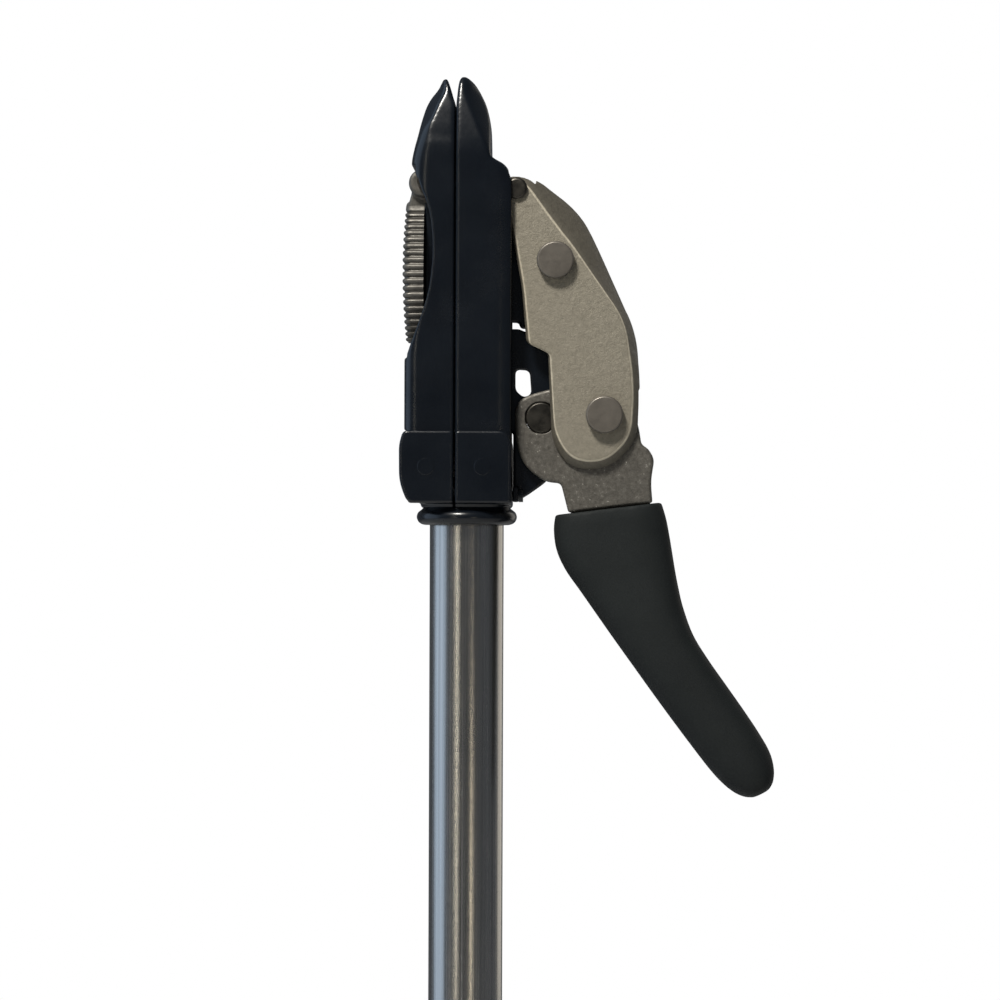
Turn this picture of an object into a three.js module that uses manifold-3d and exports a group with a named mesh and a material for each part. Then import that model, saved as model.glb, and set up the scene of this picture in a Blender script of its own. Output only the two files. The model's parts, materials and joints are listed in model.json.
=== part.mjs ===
// Reacher grabber: a pair of geared jaws on a steel pole, opened by a squeeze lever and a cast hood.
// Millimetres. +Z is up along the pole, +X points to the lever side, -Y faces the front. The origin is the
// middle of the flat bottom of the pole's end cap. Head parts are drawn in the head's own frame, which has
// its zero on the pole's axis at the bottom of the collar ring.
import * as THREE from 'three';
import { mergeVertices } from 'three/addons/utils/BufferGeometryUtils.js';
import Module from 'manifold-3d';

const wasm = await Module();
wasm.setup();

// Driving dimensions.
const POLE_LENGTH = 510; // end cap's flat bottom to the bottom of the collar ring
const TUBE_RADIUS = 12.5;
const TUBE_WALL = 1.5;
const TUBE_TOP = 9.4; // in the head's frame
const SEAM_X = -3.8; // plane where the two jaws meet
const SEAM_GAP = 0.3;
const GEAR_RADIUS = 9.45; // pitch radius of the jaw gears
const JAW_PIVOT_Z = 19.6;
const RIGHT_PIVOT = new THREE.Vector2(SEAM_X + GEAR_RADIUS, JAW_PIVOT_Z);
const LEFT_PIVOT = new THREE.Vector2(SEAM_X - GEAR_RADIUS, JAW_PIVOT_Z);
const LEVER_PIVOT = new THREE.Vector2(25, 36.2);
const LINK_PIVOT = new THREE.Vector2(46.3, 37.2); // lever to hood
const HOOD_PIVOT = new THREE.Vector2(16.6, 112.9); // hood to right jaw
const TIE_PIN = new THREE.Vector2(29.7, 88.9); // cross pin through the hood's upper half
const TRIGGER_PIVOT = new THREE.Vector2(-15, 115);
const HEAD_TOP = 150.7;

// Layers front to back, as distances from the middle plane.
const JAW_DEPTH = 15.5;
const JAW_WALL = 2.5;
const CHANNEL_DEPTH = JAW_DEPTH - JAW_WALL;
const CHEEK_INNER = 15.8;
const CHEEK_OUTER = 17.8;
const BRACKET_HALF = 2.7;
const FORK_INNER = 3.1;
const LEVER_HALF = 7.2;
const HOOD_INNER = 7.6;
const HOOD_OUTER = 11;

const GAP = 0.3; // between pieces that rest on each other
const RUNNING = 0.12; // radial clearance of a turning joint
const OPEN_PIVOT = 0.3; // radial clearance where the hood's eyes turn on their pin
const FAR = 60; // reach of a cutting tool past the piece

const FIT = 0.05; // radial clearance of a pin that stays put
const JAW_PIN_RADIUS = 3;
const HOOD_PIN_RADIUS = 2.5;

const ROUND = 28; // sides of a pin or a bore

// Materials.
const material = (color, roughness, metalness) =>
  new THREE.MeshStandardMaterial({ color, roughness, metalness });
const steelTube = material(0x8d8f92, 0.32, 1);
const pinSteel = material(0x6f6b62, 0.45, 1);
const darkSteel = material(0x35343a, 0.4, 1);
const castIron = material(0x7c766c, 0.6, 0.85);
const castDark = material(0x57544f, 0.6, 0.85);
const springSteel = material(0x8a8c90, 0.35, 1);
const glossBlack = material(0x101216, 0.22, 0);
const ribbedGrey = material(0x6a6862, 0.5, 0.6);
const vinylBlack = material(0x1a1b1c, 0.85, 0);
const padRubber = material(0x2b2e31, 0.8, 0);

// Geometry to solid and back.
const solidFrom = (positions, index) => new wasm.Manifold(new wasm.Mesh({
  numProp: 3,
  vertProperties: new Float32Array(positions),
  triVerts: new Uint32Array(index),
}));

function solid(geometry) {
  const bare = geometry.clone();
  bare.deleteAttribute('normal');
  bare.deleteAttribute('uv');
  const merged = mergeVertices(bare, 1e-4);
  return solidFrom(merged.attributes.position.array, merged.index.array);
}

function geometryOf(manifold) {
  const { vertProperties, triVerts } = manifold.getMesh();
  const geometry = new THREE.BufferGeometry();
  geometry.setAttribute('position', new THREE.BufferAttribute(vertProperties, 3));
  geometry.setIndex(new THREE.BufferAttribute(triVerts, 1));
  geometry.computeVertexNormals();
  return geometry;
}

const join = (first, ...others) => others.reduce((all, next) => all.add(next), first);
const cut = (first, ...tools) => tools.reduce((all, tool) => all.subtract(tool), first);

function piece(name, manifold, look) {
  const mesh = new THREE.Mesh(geometryOf(manifold), look);
  mesh.name = name;
  return mesh;
}

// An outline from corners [x, z, radius], each corner turned into a short curve of `steps` chords.
function outline(corners, steps = 4) {
  const points = [];
  corners.forEach(([x, z, radius], i) => {
    const corner = new THREE.Vector2(x, z);
    if (radius === 0) {
      points.push(corner);
      return;
    }
    const back = new THREE.Vector2(...corners.at(i - 1)).sub(corner);
    const ahead = new THREE.Vector2(...corners[(i + 1) % corners.length]).sub(corner);
    const reach = Math.min(radius, 0.48 * back.length(), 0.48 * ahead.length());
    const curve = new THREE.QuadraticBezierCurve(
      corner.clone().add(back.setLength(reach)),
      corner,
      corner.clone().add(ahead.setLength(reach)),
    );
    points.push(...curve.getPoints(steps));
  });
  return points;
}

// The outline pulled in by `by` along its own normals.
function inset(points, by) {
  const turn = THREE.ShapeUtils.isClockWise(points) ? -1 : 1;
  return points.map((p, i) => {
    const before = p.clone().sub(points.at(i - 1)).normalize();
    const after = points[(i + 1) % points.length].clone().sub(p).normalize();
    const along = before.clone().add(after).normalize();
    const stretch = Math.max(0.5, along.dot(after));
    return new THREE.Vector2(p.x - (by * turn * along.y) / stretch, p.y + (by * turn * along.x) / stretch);
  });
}

// A plate of that outline in the XZ plane, from y0 to y1, with its edges bevelled.
function plate(points, y0, y1, bevel = 0) {
  const ring = (by, y) => inset(points, by).map((p) => new THREE.Vector3(p.x, y, p.y));
  const rings = bevel > 0
    ? [ring(bevel, y0), ring(0, y0 + bevel), ring(0, y1 - bevel), ring(bevel, y1)]
    : [ring(0, y0), ring(0, y1)];
  return skin(rings, points, points);
}

const block = (x0, x1, y0, y1, z0, z1) => {
  const geometry = new THREE.BoxGeometry(x1 - x0, y1 - y0, z1 - z0);
  geometry.translate((x0 + x1) / 2, (y0 + y1) / 2, (z0 + z1) / 2);
  return solid(geometry);
};

// A round bar along Y at a pivot.
function barY(pivot, radius, y0, y1, sides = ROUND) {
  const geometry = new THREE.CylinderGeometry(radius, radius, y1 - y0, sides);
  geometry.translate(pivot.x, (y0 + y1) / 2, pivot.y);
  return solid(geometry);
}

function barX(x0, x1, radius, z, sides = ROUND) {
  const geometry = new THREE.CylinderGeometry(radius, radius, x1 - x0, sides);
  geometry.rotateZ(Math.PI / 2);
  geometry.translate((x0 + x1) / 2, 0, z);
  return solid(geometry);
}

function barZ(x, radius, z0, z1, sides = ROUND) {
  const geometry = new THREE.CylinderGeometry(radius, radius, z1 - z0, sides);
  geometry.rotateX(Math.PI / 2);
  geometry.translate(x, 0, (z0 + z1) / 2);
  return solid(geometry);
}

// A turned shape about Z from [radius, z] points; turnedY lays the same shape along Y at a pivot.
function latheGeometry(profile, sides) {
  const geometry = new THREE.LatheGeometry(profile.map(([r, z]) => new THREE.Vector2(r, z)), sides);
  return geometry.rotateX(Math.PI / 2);
}
const turnedZ = (profile, sides = 40) => solid(latheGeometry(profile, sides));
function turnedY(pivot, profile, sides = ROUND) {
  const geometry = new THREE.LatheGeometry(profile.map(([r, y]) => new THREE.Vector2(r, y)), sides);
  geometry.translate(pivot.x, 0, pivot.y);
  return solid(geometry);
}

// A closed skin through rings of 3D points, capped at both ends by triangulating the end outlines.
function skin(rings, firstOutline, lastOutline) {
  const count = rings[0].length;
  const index = [];
  const face = (a, b, c) => index.push(a, b, c);
  for (let k = 0; k + 1 < rings.length; k += 1) {
    for (let i = 0; i < count; i += 1) {
      const a = k * count + i;
      const b = k * count + ((i + 1) % count);
      face(a, b, b + count);
      face(a, b + count, a + count);
    }
  }
  const last = (rings.length - 1) * count;
  const facesOf = (points) => THREE.ShapeUtils.triangulateShape(points, []).map((t) => (
    THREE.ShapeUtils.area(t.map((i) => points[i])) < 0 ? t.toReversed() : t));
  const wound = THREE.ShapeUtils.isClockWise(firstOutline);
  for (const [a, b, c] of facesOf(firstOutline)) wound ? face(a, b, c) : face(a, c, b);
  for (const [a, b, c] of facesOf(lastOutline)) {
    wound ? face(last + a, last + c, last + b) : face(last + a, last + b, last + c);
  }
  const made = solidFrom(rings.flat().flatMap((p) => [p.x, p.y, p.z]), index);
  if (made.volume() > 0) return made;
  for (let i = 0; i < index.length; i += 3) [index[i + 1], index[i + 2]] = [index[i + 2], index[i + 1]];
  return solidFrom(rings.flat().flatMap((p) => [p.x, p.y, p.z]), index);
}

// A skin through horizontal sections: each is { z, points } with points counter-clockwise seen from above.
function stacked(sections) {
  const rings = sections.map(({ z, points }) => points.map((p) => new THREE.Vector3(p.x, p.y, z)));
  return skin(rings, sections[0].points, sections.at(-1).points);
}

// ---- Pole ---------------------------------------------------------------------------------------------

function poleTube() {
  const inner = TUBE_RADIUS - TUBE_WALL;
  const bottom = 3 - POLE_LENGTH;
  return piece('pole_tube', turnedZ([
    [inner, bottom], [TUBE_RADIUS, bottom], [TUBE_RADIUS, TUBE_TOP], [inner, TUBE_TOP], [inner, bottom],
  ], 48), steelTube);
}

function poleEndCap() {
  const bottom = -POLE_LENGTH;
  const wall = 2;
  const bore = TUBE_RADIUS + 0.2;
  const outer = bore + wall;
  const height = 26;
  return piece('pole_end_cap', turnedZ([
    [0, bottom], [outer - 1.6, bottom], [outer - 0.4, bottom + 0.5], [outer, bottom + 1.8],
    [outer, bottom + height - 2], [outer - 0.9, bottom + height], [bore, bottom + height],
    [bore, bottom + 2.7], [0, bottom + 2.7],
  ]), vinylBlack);
}

function tubeSpigot() {
  const radius = TUBE_RADIUS - TUBE_WALL - 0.15;
  const screwHoles = Object.values(HOUSING_SCREW_X).map((x) => barZ(x, SCREW_RADIUS + 0.1, -14, FAR, 20));
  const body = turnedZ([
    [0, -30], [radius - 1, -30], [radius, -29], [radius, TUBE_TOP], [0, TUBE_TOP],
  ]);
  const crossHole = barY(new THREE.Vector2(0, -20), 1.6, -FAR, FAR);
  return piece('tube_spigot', cut(body, ...screwHoles, crossHole), castDark);
}

// A grooved pin that holds the spigot, pressed in from inside before the collar goes on.
function spigotPin() {
  const half = TUBE_RADIUS - TUBE_WALL - 0.5;
  return piece('spigot_pin', barY(new THREE.Vector2(0, -20), 1.5, -half, half, 20), pinSteel);
}

function collarRing() {
  const bore = TUBE_RADIUS + 0.15;
  return piece('collar_ring', turnedZ([
    [bore, 0], [14.6, 0], [16.3, 0.8], [17.05, 2.6], [16.6, 4.2], [15, 5.4], [bore, 5.5], [bore, 0],
  ], 40), glossBlack);
}

// ---- Housing ------------------------------------------------------------------------------------------

const BASE_BOTTOM = 5.8;
const BASE_FLOOR = 7.4;
const BASE_TOP = 12;
const CUFF_TOP = 31.6;
const HOUSING_SCREW_X = { left: -8, right: 5 };
const SCREW_RADIUS = 1.9;
const HOUSING_SEAM = 0.3; // each half stands this far back from the seam plane

const LEFT_CHEEK = [
  [SEAM_X - HOUSING_SEAM, BASE_FLOOR, 1], [-19.4, BASE_FLOOR, 2.4], [-22.2, 14.5, 5],
  [-22.3, 27, 3], [-20.9, CUFF_TOP, 1.6], [SEAM_X - HOUSING_SEAM, CUFF_TOP, 1],
];
const RIGHT_CHEEK = [
  [SEAM_X + HOUSING_SEAM, CUFF_TOP, 1], [13.2, CUFF_TOP, 2.2], [15.3, 28, 2],
  [15.3, BASE_FLOOR, 1.2], [SEAM_X + HOUSING_SEAM, BASE_FLOOR, 1],
];

// Each half is a front and a back cheek joined by a solid base with half of the round neck below it.
function housingHalf(name, corners, x0, x1, screwX, pivot) {
  const points = outline(corners, 3);
  const cheeks = [-1, 1].map((side) => plate(
    points,
    side < 0 ? -CHEEK_OUTER : CHEEK_INNER,
    side < 0 ? -CHEEK_INNER : CHEEK_OUTER,
    0.6,
  ));
  const base = plate(outline([
    [x0, BASE_FLOOR, 0.3], [x1, BASE_FLOOR, 0.3], [x1, BASE_TOP, 0.3], [x0, BASE_TOP, 0.3],
  ], 1), -CHEEK_OUTER + 0.4, CHEEK_OUTER - 0.4);
  const neck = turnedZ([[0, BASE_BOTTOM], [15.2, BASE_BOTTOM], [15.6, 6.6], [15.6, 8], [0, 8]], 40);
  const half = join(base, neck.intersect(block(x0, x1, -FAR, FAR, 0, FAR)), ...cheeks);
  const tubeSocket = barZ(0, TUBE_RADIUS + 0.15, 0, TUBE_TOP + GAP, 40);
  const screwHole = join(
    barZ(screwX, SCREW_RADIUS + 0.1, 0, FAR, 20),
    barZ(screwX, 3.6, BASE_TOP - 1, FAR, 20),
  );
  const pinHole = barY(pivot, JAW_PIN_RADIUS + FIT, -FAR, FAR);
  const footHoles = FOOT_SCREWS.map((y) => footBar(y, FOOT_SCREW_RADIUS + 0.1, 13.8, FAR));
  return piece(name, cut(half, tubeSocket, screwHole, pinHole, ...footHoles), glossBlack);
}

function housingScrew(side) {
  const x = HOUSING_SCREW_X[side];
  const head = barZ(x, 3.4, BASE_TOP - 0.7, BASE_TOP + 0.9, 20);
  const shaft = barZ(x, SCREW_RADIUS, -13.5, BASE_TOP, 16);
  return piece(`housing_screw_${side}`, join(head, shaft), pinSteel);
}

function jawPin(name, pivot) {
  const end = CHEEK_OUTER + 0.15;
  return piece(name, turnedY(pivot, [
    [0, -end], [JAW_PIN_RADIUS - 0.3, -end], [JAW_PIN_RADIUS, -end + 0.3],
    [JAW_PIN_RADIUS, end - 0.3], [JAW_PIN_RADIUS - 0.3, end], [0, end],
  ], 24), darkSteel);
}

// ---- Lever bracket ------------------------------------------------------------------------------------

const BRACKET_CORNERS = [
  [11, 66.2, 1], [17.4, 66.2, 0.6], [30.5, 60.8, 2], [29, 49, 3], [36.4, 42, 6], [36.6, 27, 6],
  [26.8, 14.6, 2.5], [20.4, 10, 2], [16.8, 8, 1], [15.6, 8.6, 0.8], [15.6, 31, 0.8],
  [11, 33.4, 1.5],
];
const WINDOW_CORNERS = [
  [16.3, 52.6, 1.6], [21.1, 52.3, 1.8], [21.7, 44.2, 1.6], [19.2, 43.1, 1.2], [16.3, 45.4, 1.6],
];
const FOOT_SCREW_Z = 10;
const FOOT_SCREW_RADIUS = 1.5;
const FOOT_FACE = 17.4; // outer face of the bracket's foot

function leverBracket() {
  const body = plate(outline(BRACKET_CORNERS, 4), -BRACKET_HALF, BRACKET_HALF, 0.5);
  const foot = block(15.6, FOOT_FACE, -9, 9, BASE_FLOOR + 0.4, 13);
  const window = plate(outline(WINDOW_CORNERS, 4), -FAR, FAR);
  const pivotHole = barY(LEVER_PIVOT, 5.3 + FIT, -FAR, FAR);
  const screwHoles = FOOT_SCREWS.map((y) => footBar(y, FOOT_SCREW_RADIUS + 0.1, 10, FAR));
  return piece('lever_bracket', cut(join(body, foot), window, pivotHole, ...screwHoles), glossBlack);
}

const FOOT_SCREWS = [-6, 6];
function footBar(y, radius, x0, x1) {
  return barX(x0, x1, radius, FOOT_SCREW_Z, 20).translate(0, y, 0);
}

function bracketScrew(y, name) {
  const shaft = footBar(y, FOOT_SCREW_RADIUS, 14.2, FOOT_FACE + 0.3);
  const head = footBar(y, 2.2, FOOT_FACE + 0.2, FOOT_FACE + 1.5);
  return piece(name, join(shaft, head), darkSteel);
}

function leverPivotPin() {
  const end = LEVER_HALF + 0.15;
  return piece('lever_pivot_pin', turnedY(LEVER_PIVOT, [
    [0, -end], [4.7, -end], [5.25, -end + 0.5], [5.25, end - 0.5], [4.7, end], [0, end],
  ]), darkSteel);
}

// ---- Jaws ---------------------------------------------------------------------------------------------

// One horizontal section of a jaw: flat on the seam side, with a corner towards the outside that is
// cornerX wide and cornerY deep, straight when bend is 1 and elliptical when it is 2.
function jawSection({ z, inner, outer, depth, cornerX, cornerY, bend }) {
  const side = Math.sign(outer - inner);
  const lip = 0.6;
  const steps = 5;
  const front = [new THREE.Vector2(inner, -depth + lip), new THREE.Vector2(inner + side * lip, -depth)];
  for (let i = 0; i <= steps; i += 1) {
    const angle = (Math.PI / 2) * (i / steps);
    front.push(new THREE.Vector2(
      outer - side * cornerX * (1 - Math.sin(angle) ** (2 / bend)),
      -depth + cornerY * (1 - Math.cos(angle) ** (2 / bend)),
    ));
  }
  const back = front.map((p) => new THREE.Vector2(p.x, -p.y)).reverse();
  const points = [...front, ...back];
  if (side < 0) points.reverse();
  return { z, points };
}

const sectionsOf = (rows, fixed) => rows.map(([z, inner, outer, depth, cornerX, cornerY, bend]) =>
  jawSection({ z, inner: inner ?? fixed, outer, depth, cornerX, cornerY, bend }));

const RIGHT_INNER = SEAM_X + SEAM_GAP / 2;
const LEFT_INNER = SEAM_X - SEAM_GAP / 2;

// Height, seam-side x (null: on the seam), outer x, half depth, corner width, corner depth, corner bend.
const RIGHT_JAW_ROWS = [
  [JAW_PIVOT_Z, null, 15.2, JAW_DEPTH, 5.1, 1.7, 1.5],
  [112, null, 15.2, JAW_DEPTH, 5.1, 1.7, 1.5],
  [116.8, null, 14.8, JAW_DEPTH, 5, 2.2, 1.6],
  [119.6, null, 13.6, JAW_DEPTH, 4.6, 3, 1.8],
  [121.4, null, 11.8, JAW_DEPTH, 3.6, 3.6, 1.8],
  [122.6, null, 9.4, JAW_DEPTH, 2, 2.6, 1.5],
  [123.6, null, 8, JAW_DEPTH, 0.8, 1, 1.1],
  [128, null, 8, 15.1, 2.2, 2.9, 1.1],
  [133, null, 7.9, 14.2, 4, 5, 1.1],
  [137, null, 7.4, 13.3, 5.1, 6.3, 1.1],
  [141, null, 6.4, 12.3, 5.7, 7, 1.12],
  [144, -3.4, 5.1, 11.4, 5.6, 7, 1.2],
  [146.6, -3.15, 3.7, 10.6, 5, 6.6, 1.35],
  [148.6, -2.9, 2.3, 9.8, 3.9, 5.6, 1.6],
  [149.9, -2.5, 0.9, 8.9, 2.3, 4.2, 1.8],
  [HEAD_TOP, -1.9, -0.4, 7.6, 0.6, 2, 2],
];
const LEFT_JAW_ROWS = [
  [JAW_PIVOT_Z, null, -20.8, JAW_DEPTH, 4.6, 4.6, 2],
  [55, null, -20.8, JAW_DEPTH, 4.6, 4.6, 2],
  [66, null, -20.3, JAW_DEPTH, 5, 5, 2],
  [104, null, -19.2, JAW_DEPTH, 6, 6, 2],
  [118, null, -18.8, JAW_DEPTH, 6.2, 6.2, 2],
  [121.7, null, -18.6, JAW_DEPTH, 6.2, 6.2, 2],
  [126.8, null, -17.6, 15.3, 5.6, 6, 1.9],
  [130.5, null, -16.6, 14.6, 4.4, 5.6, 1.7],
  [133.5, null, -15.9, 14.1, 3.6, 5.4, 1.3],
  [137, null, -15, 13.3, 4, 6, 1.1],
  [141, null, -13.7, 12.3, 4.4, 6.6, 1.12],
  [144, -4.95, -12, 11.4, 4.2, 6.4, 1.2],
  [146.6, -5.6, -9.9, 10.6, 3, 6, 1.4],
  [148.6, -6.3, -8.9, 9.6, 2, 5, 1.7],
  [150, -6.8, -8.1, 8.4, 0.5, 2.4, 2],
];

const HUB_RADIUS = 7.2;
const SPINE = 2.65; // wall on the seam side
const ROOF_RIGHT = 118.2;
const ROOF_LEFT = 120.3;
const PAD_LOW = 98;
const PAD_HIGH = 138;
const PAD_HALF = 8;
const PAD_THICK = 0.9;
const GEAR_SCREW_Z = 39;

function padPocket(side) {
  const face = side < 0 ? LEFT_INNER : RIGHT_INNER;
  const depth = PAD_THICK + GAP;
  const x0 = side < 0 ? face - depth : face - 1;
  const x1 = side < 0 ? face + 1 : face + depth;
  return block(x0, x1, -PAD_HALF - GAP, PAD_HALF + GAP, PAD_LOW - GAP, PAD_HIGH + GAP);
}

function jawPad(name, side) {
  const face = side < 0 ? LEFT_INNER : RIGHT_INNER;
  const x0 = side < 0 ? face - PAD_THICK : face;
  return piece(name, block(x0, x0 + PAD_THICK, -PAD_HALF, PAD_HALF, PAD_LOW, PAD_HIGH), padRubber);
}

// Two hub discs, one inside each cheek, carry a jaw on its pin.
const hub = (pivot) => barY(pivot, HUB_RADIUS, -JAW_DEPTH, JAW_DEPTH, 36);
const pivotBore = (pivot) => barY(pivot, JAW_PIN_RADIUS + RUNNING, -FAR, FAR);

const RIB_CORNERS = [
  [-2, 68.4, 0.3], [17.5, 68.4, 0.3], [17.7, 66.6, 0.4], [20.2, 66.1, 0.8], [19.6, 84, 6],
  [17.6, 103, 4], [21.1, 110.5, 4], [20.4, 117.1, 4], [12.6, 117.2, 3], [-2, 119, 0.3],
];

function rightJawShell() {
  const outside = join(stacked(sectionsOf(RIGHT_JAW_ROWS, RIGHT_INNER)), hub(RIGHT_PIVOT));
  const channel = join(
    block(RIGHT_INNER + SPINE, FAR, -CHANNEL_DEPTH, CHANNEL_DEPTH, CUFF_TOP, ROOF_RIGHT),
    block(-FAR, FAR, -CHANNEL_DEPTH, CHANNEL_DEPTH, 0, CUFF_TOP),
  );
  const rib = plate(outline(RIB_CORNERS, 4), -BRACKET_HALF, BRACKET_HALF);
  const eyeRelief = barY(HOOD_PIVOT, 4.3, -FAR, FAR).intersect(block(HOOD_PIVOT.x, FAR, -FAR, FAR, 0, FAR));
  const ribRound = cut(rib, block(HOOD_PIVOT.x, FAR, -FAR, FAR, 105, 125)).add(
    eyeRelief.intersect(block(0, FAR, -BRACKET_HALF, BRACKET_HALF, 0, 200)));
  return piece('right_jaw_shell', cut(
    join(cut(outside, channel), ribRound),
    pivotBore(RIGHT_PIVOT),
    padPocket(1),
    barX(-FAR, FAR, SCREW_RADIUS + 0.1, GEAR_SCREW_Z, 20).intersect(block(-FAR, 5, -5, 5, 0, FAR)),
    barY(HOOD_PIVOT, HOOD_PIN_RADIUS + FIT, -FAR, FAR),
  ), glossBlack);
}

// The left jaw's side walls are scooped out between these points, so a thumb reaches the trigger.
const SCOOP_CORNERS = [
  [-40, 122.6, 0], [-19.4, 122.6, 0.5], [-16.5, 115.5, 8], [-12.2, 105.5, 9], [-11, 92, 16],
  [-12.6, 77.5, 14], [-16.6, 66, 10], [-20, 57.2, 5], [-21.6, 54.5, 0.5], [-40, 54.5, 0],
];

function leftJawShell() {
  const outside = join(stacked(sectionsOf(LEFT_JAW_ROWS, LEFT_INNER)), hub(LEFT_PIVOT));
  const spineFace = LEFT_INNER - SPINE;
  const channel = join(
    block(-FAR, spineFace, -CHANNEL_DEPTH, CHANNEL_DEPTH, 56, ROOF_LEFT),
    block(-18.3, spineFace, -CHANNEL_DEPTH, CHANNEL_DEPTH, CUFF_TOP - 1, 57),
    block(-FAR, FAR, -CHANNEL_DEPTH, CHANNEL_DEPTH, 0, CUFF_TOP),
  );
  const scoop = plate(outline(SCOOP_CORNERS, 5), -FAR, FAR);
  return piece('left_jaw_shell', cut(
    outside,
    channel,
    scoop,
    pivotBore(LEFT_PIVOT),
    padPocket(-1),
    barX(-FAR, FAR, SCREW_RADIUS + 0.1, GEAR_SCREW_Z, 20).intersect(block(-12, FAR, -5, 5, 0, FAR)),
    barY(TRIGGER_PIVOT, 1.8, -CHANNEL_DEPTH - 1.6, CHANNEL_DEPTH + 1.6),
  ), glossBlack);
}

// A toothed sector keyed to its jaw: teeth at the given angles, a hub on the jaw pin, an arm up the spine.
const TEETH_PER_TURN = 12;
function gearSector(name, pivot, side, toothAngles) {
  const pitchAngle = 360 / TEETH_PER_TURN;
  const root = GEAR_RADIUS - 1.75;
  const tip = GEAR_RADIUS + 1.3;
  const polar = (degrees, radius) => new THREE.Vector2(
    pivot.x + radius * Math.cos(THREE.MathUtils.degToRad(degrees)),
    pivot.y + radius * Math.sin(THREE.MathUtils.degToRad(degrees)),
  );
  const points = [];
  for (const angle of toothAngles) {
    points.push(polar(angle - pitchAngle / 2 + 1, root), polar(angle - 8.6, root));
    points.push(polar(angle - 3.2, tip), polar(angle + 3.2, tip), polar(angle + 8.6, root));
  }
  const last = toothAngles.at(-1) + pitchAngle / 2;
  const first = toothAngles[0] - pitchAngle / 2;
  points.push(polar(last, root));
  const hubSteps = 10;
  for (let i = 0; i <= hubSteps; i += 1) {
    points.push(polar(last + (first + 360 - last) * ((i + 0.5) / (hubSteps + 1)), 6.2));
  }
  const half = CHANNEL_DEPTH - GAP;
  const armX = side < 0 ? LEFT_INNER - SPINE - GAP : RIGHT_INNER + SPINE + GAP;
  const arm = block(
    side < 0 ? armX - 3 : armX,
    side < 0 ? armX : armX + 3,
    -half, half, JAW_PIVOT_Z + 3, 45,
  );
  const screwHole = barX(-FAR, FAR, SCREW_RADIUS + 0.1, GEAR_SCREW_Z, 20);
  return piece(name, cut(join(plate(points, -half, half), arm), pivotBore(pivot), screwHole), pinSteel);
}

function gearScrew(name, side) {
  const face = side < 0 ? LEFT_INNER : RIGHT_INNER;
  const headFace = face + side * (SPINE + GAP + 3.2);
  const [s0, s1] = [face + side * 0.5, headFace].sort((a, b) => a - b);
  const [h0, h1] = [headFace - side * 0.1, headFace + side * 2].sort((a, b) => a - b);
  return piece(name, join(
    barX(s0, s1, SCREW_RADIUS, GEAR_SCREW_Z, 20),
    barX(h0, h1, 3.3, GEAR_SCREW_Z, 20),
  ), darkSteel);
}

// ---- Thumb trigger ------------------------------------------------------------------------------------

const RIB_COUNT = 20;
const TRIGGER_LOW = 61.5;
const RIBS_HIGH = 105.2;
const TRIGGER_MIDDLE = 85.15;
const TRIGGER_CROWN = 34; // radius of its crowned front and back
const TRIGGER_HALF = 12.4;
const TRIGGER_LEFT = -21.6;
const TRIGGER_RIGHT = -14.5;
const ARM_HALF = 6;

// One horizontal section of the pad, pulled in all round for a groove between the ribs.
function triggerSection(z, pull) {
  const away = z - TRIGGER_MIDDLE;
  const fall = TRIGGER_CROWN - Math.sqrt(TRIGGER_CROWN ** 2 - away ** 2);
  const half = TRIGGER_HALF - 0.85 * fall - pull;
  const left = TRIGGER_LEFT + 0.9 * (away / 23) ** 2 + pull;
  const round = Math.min(2.4, half * 0.6);
  const corner = 0.3 * round;
  const front = [
    [TRIGGER_RIGHT, -half], [left + round, -half], [left + corner, -half + corner], [left, -half + round],
  ].map(([x, y]) => new THREE.Vector2(x, y));
  const back = front.map((p) => new THREE.Vector2(p.x, -p.y)).reverse();
  return { z, points: [...front, ...back].reverse() };
}

const springBore = () => barX(TRIGGER_RIGHT - 4, FAR, 3.6, TRIGGER_SPRING_Z, 24);

// A ribbed pad with a smooth shoulder above the ribs, and the knuckle that turns on the trigger pin.
function thumbTrigger() {
  const sections = [];
  const angleOf = (z) => Math.asin((z - TRIGGER_MIDDLE) / TRIGGER_CROWN);
  const pitchAngle = (angleOf(RIBS_HIGH) - angleOf(TRIGGER_LOW)) / RIB_COUNT;
  const heightAt = (ribs) => (
    TRIGGER_MIDDLE + TRIGGER_CROWN * Math.sin(angleOf(TRIGGER_LOW) + ribs * pitchAngle));
  for (let rib = 0; rib < RIB_COUNT; rib += 1) {
    sections.push(triggerSection(heightAt(rib + 0.2), 0.75));
    sections.push(triggerSection(heightAt(rib + 0.45), 0));
    sections.push(triggerSection(heightAt(rib + 0.9), 0));
  }
  sections.push(triggerSection(RIBS_HIGH + 0.3, 0.5), triggerSection(RIBS_HIGH + 0.8, 0));
  sections.push(triggerSection(108.4, 0.1), triggerSection(109.4, 1.2));
  const knuckle = barY(TRIGGER_PIVOT, 4.7, -TRIGGER_HALF + 4, TRIGGER_HALF - 4, 32);
  const neck = plate(outline([
    [-20.2, 107, 1], [-18.9, 111.5, 1], [-18.6, 114, 0.5], [-12, 114, 1], [-12, 109, 2],
    [TRIGGER_RIGHT, 105.4, 0.5],
  ], 2), -5.2, 5.2);
  return piece('thumb_trigger', cut(
    join(stacked(sections), knuckle, neck),
    barY(TRIGGER_PIVOT, 1.7 + RUNNING, -FAR, FAR, 24),
    springBore(),
  ), ribbedGrey);
}

// The black arm behind the pad, which backs it up and takes the spring's push.
function triggerArm() {
  const arm = plate(outline([
    [TRIGGER_RIGHT + GAP, 63, 0.5], [-12.2, 63, 1], [-11.2, 76, 6], [-10.8, 92, 6], [-11.4, 104.6, 1.5],
    [TRIGGER_RIGHT + GAP, 104.6, 0.5],
  ], 3), -ARM_HALF, ARM_HALF);
  return piece('trigger_arm', cut(arm, springBore()), glossBlack);
}

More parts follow.
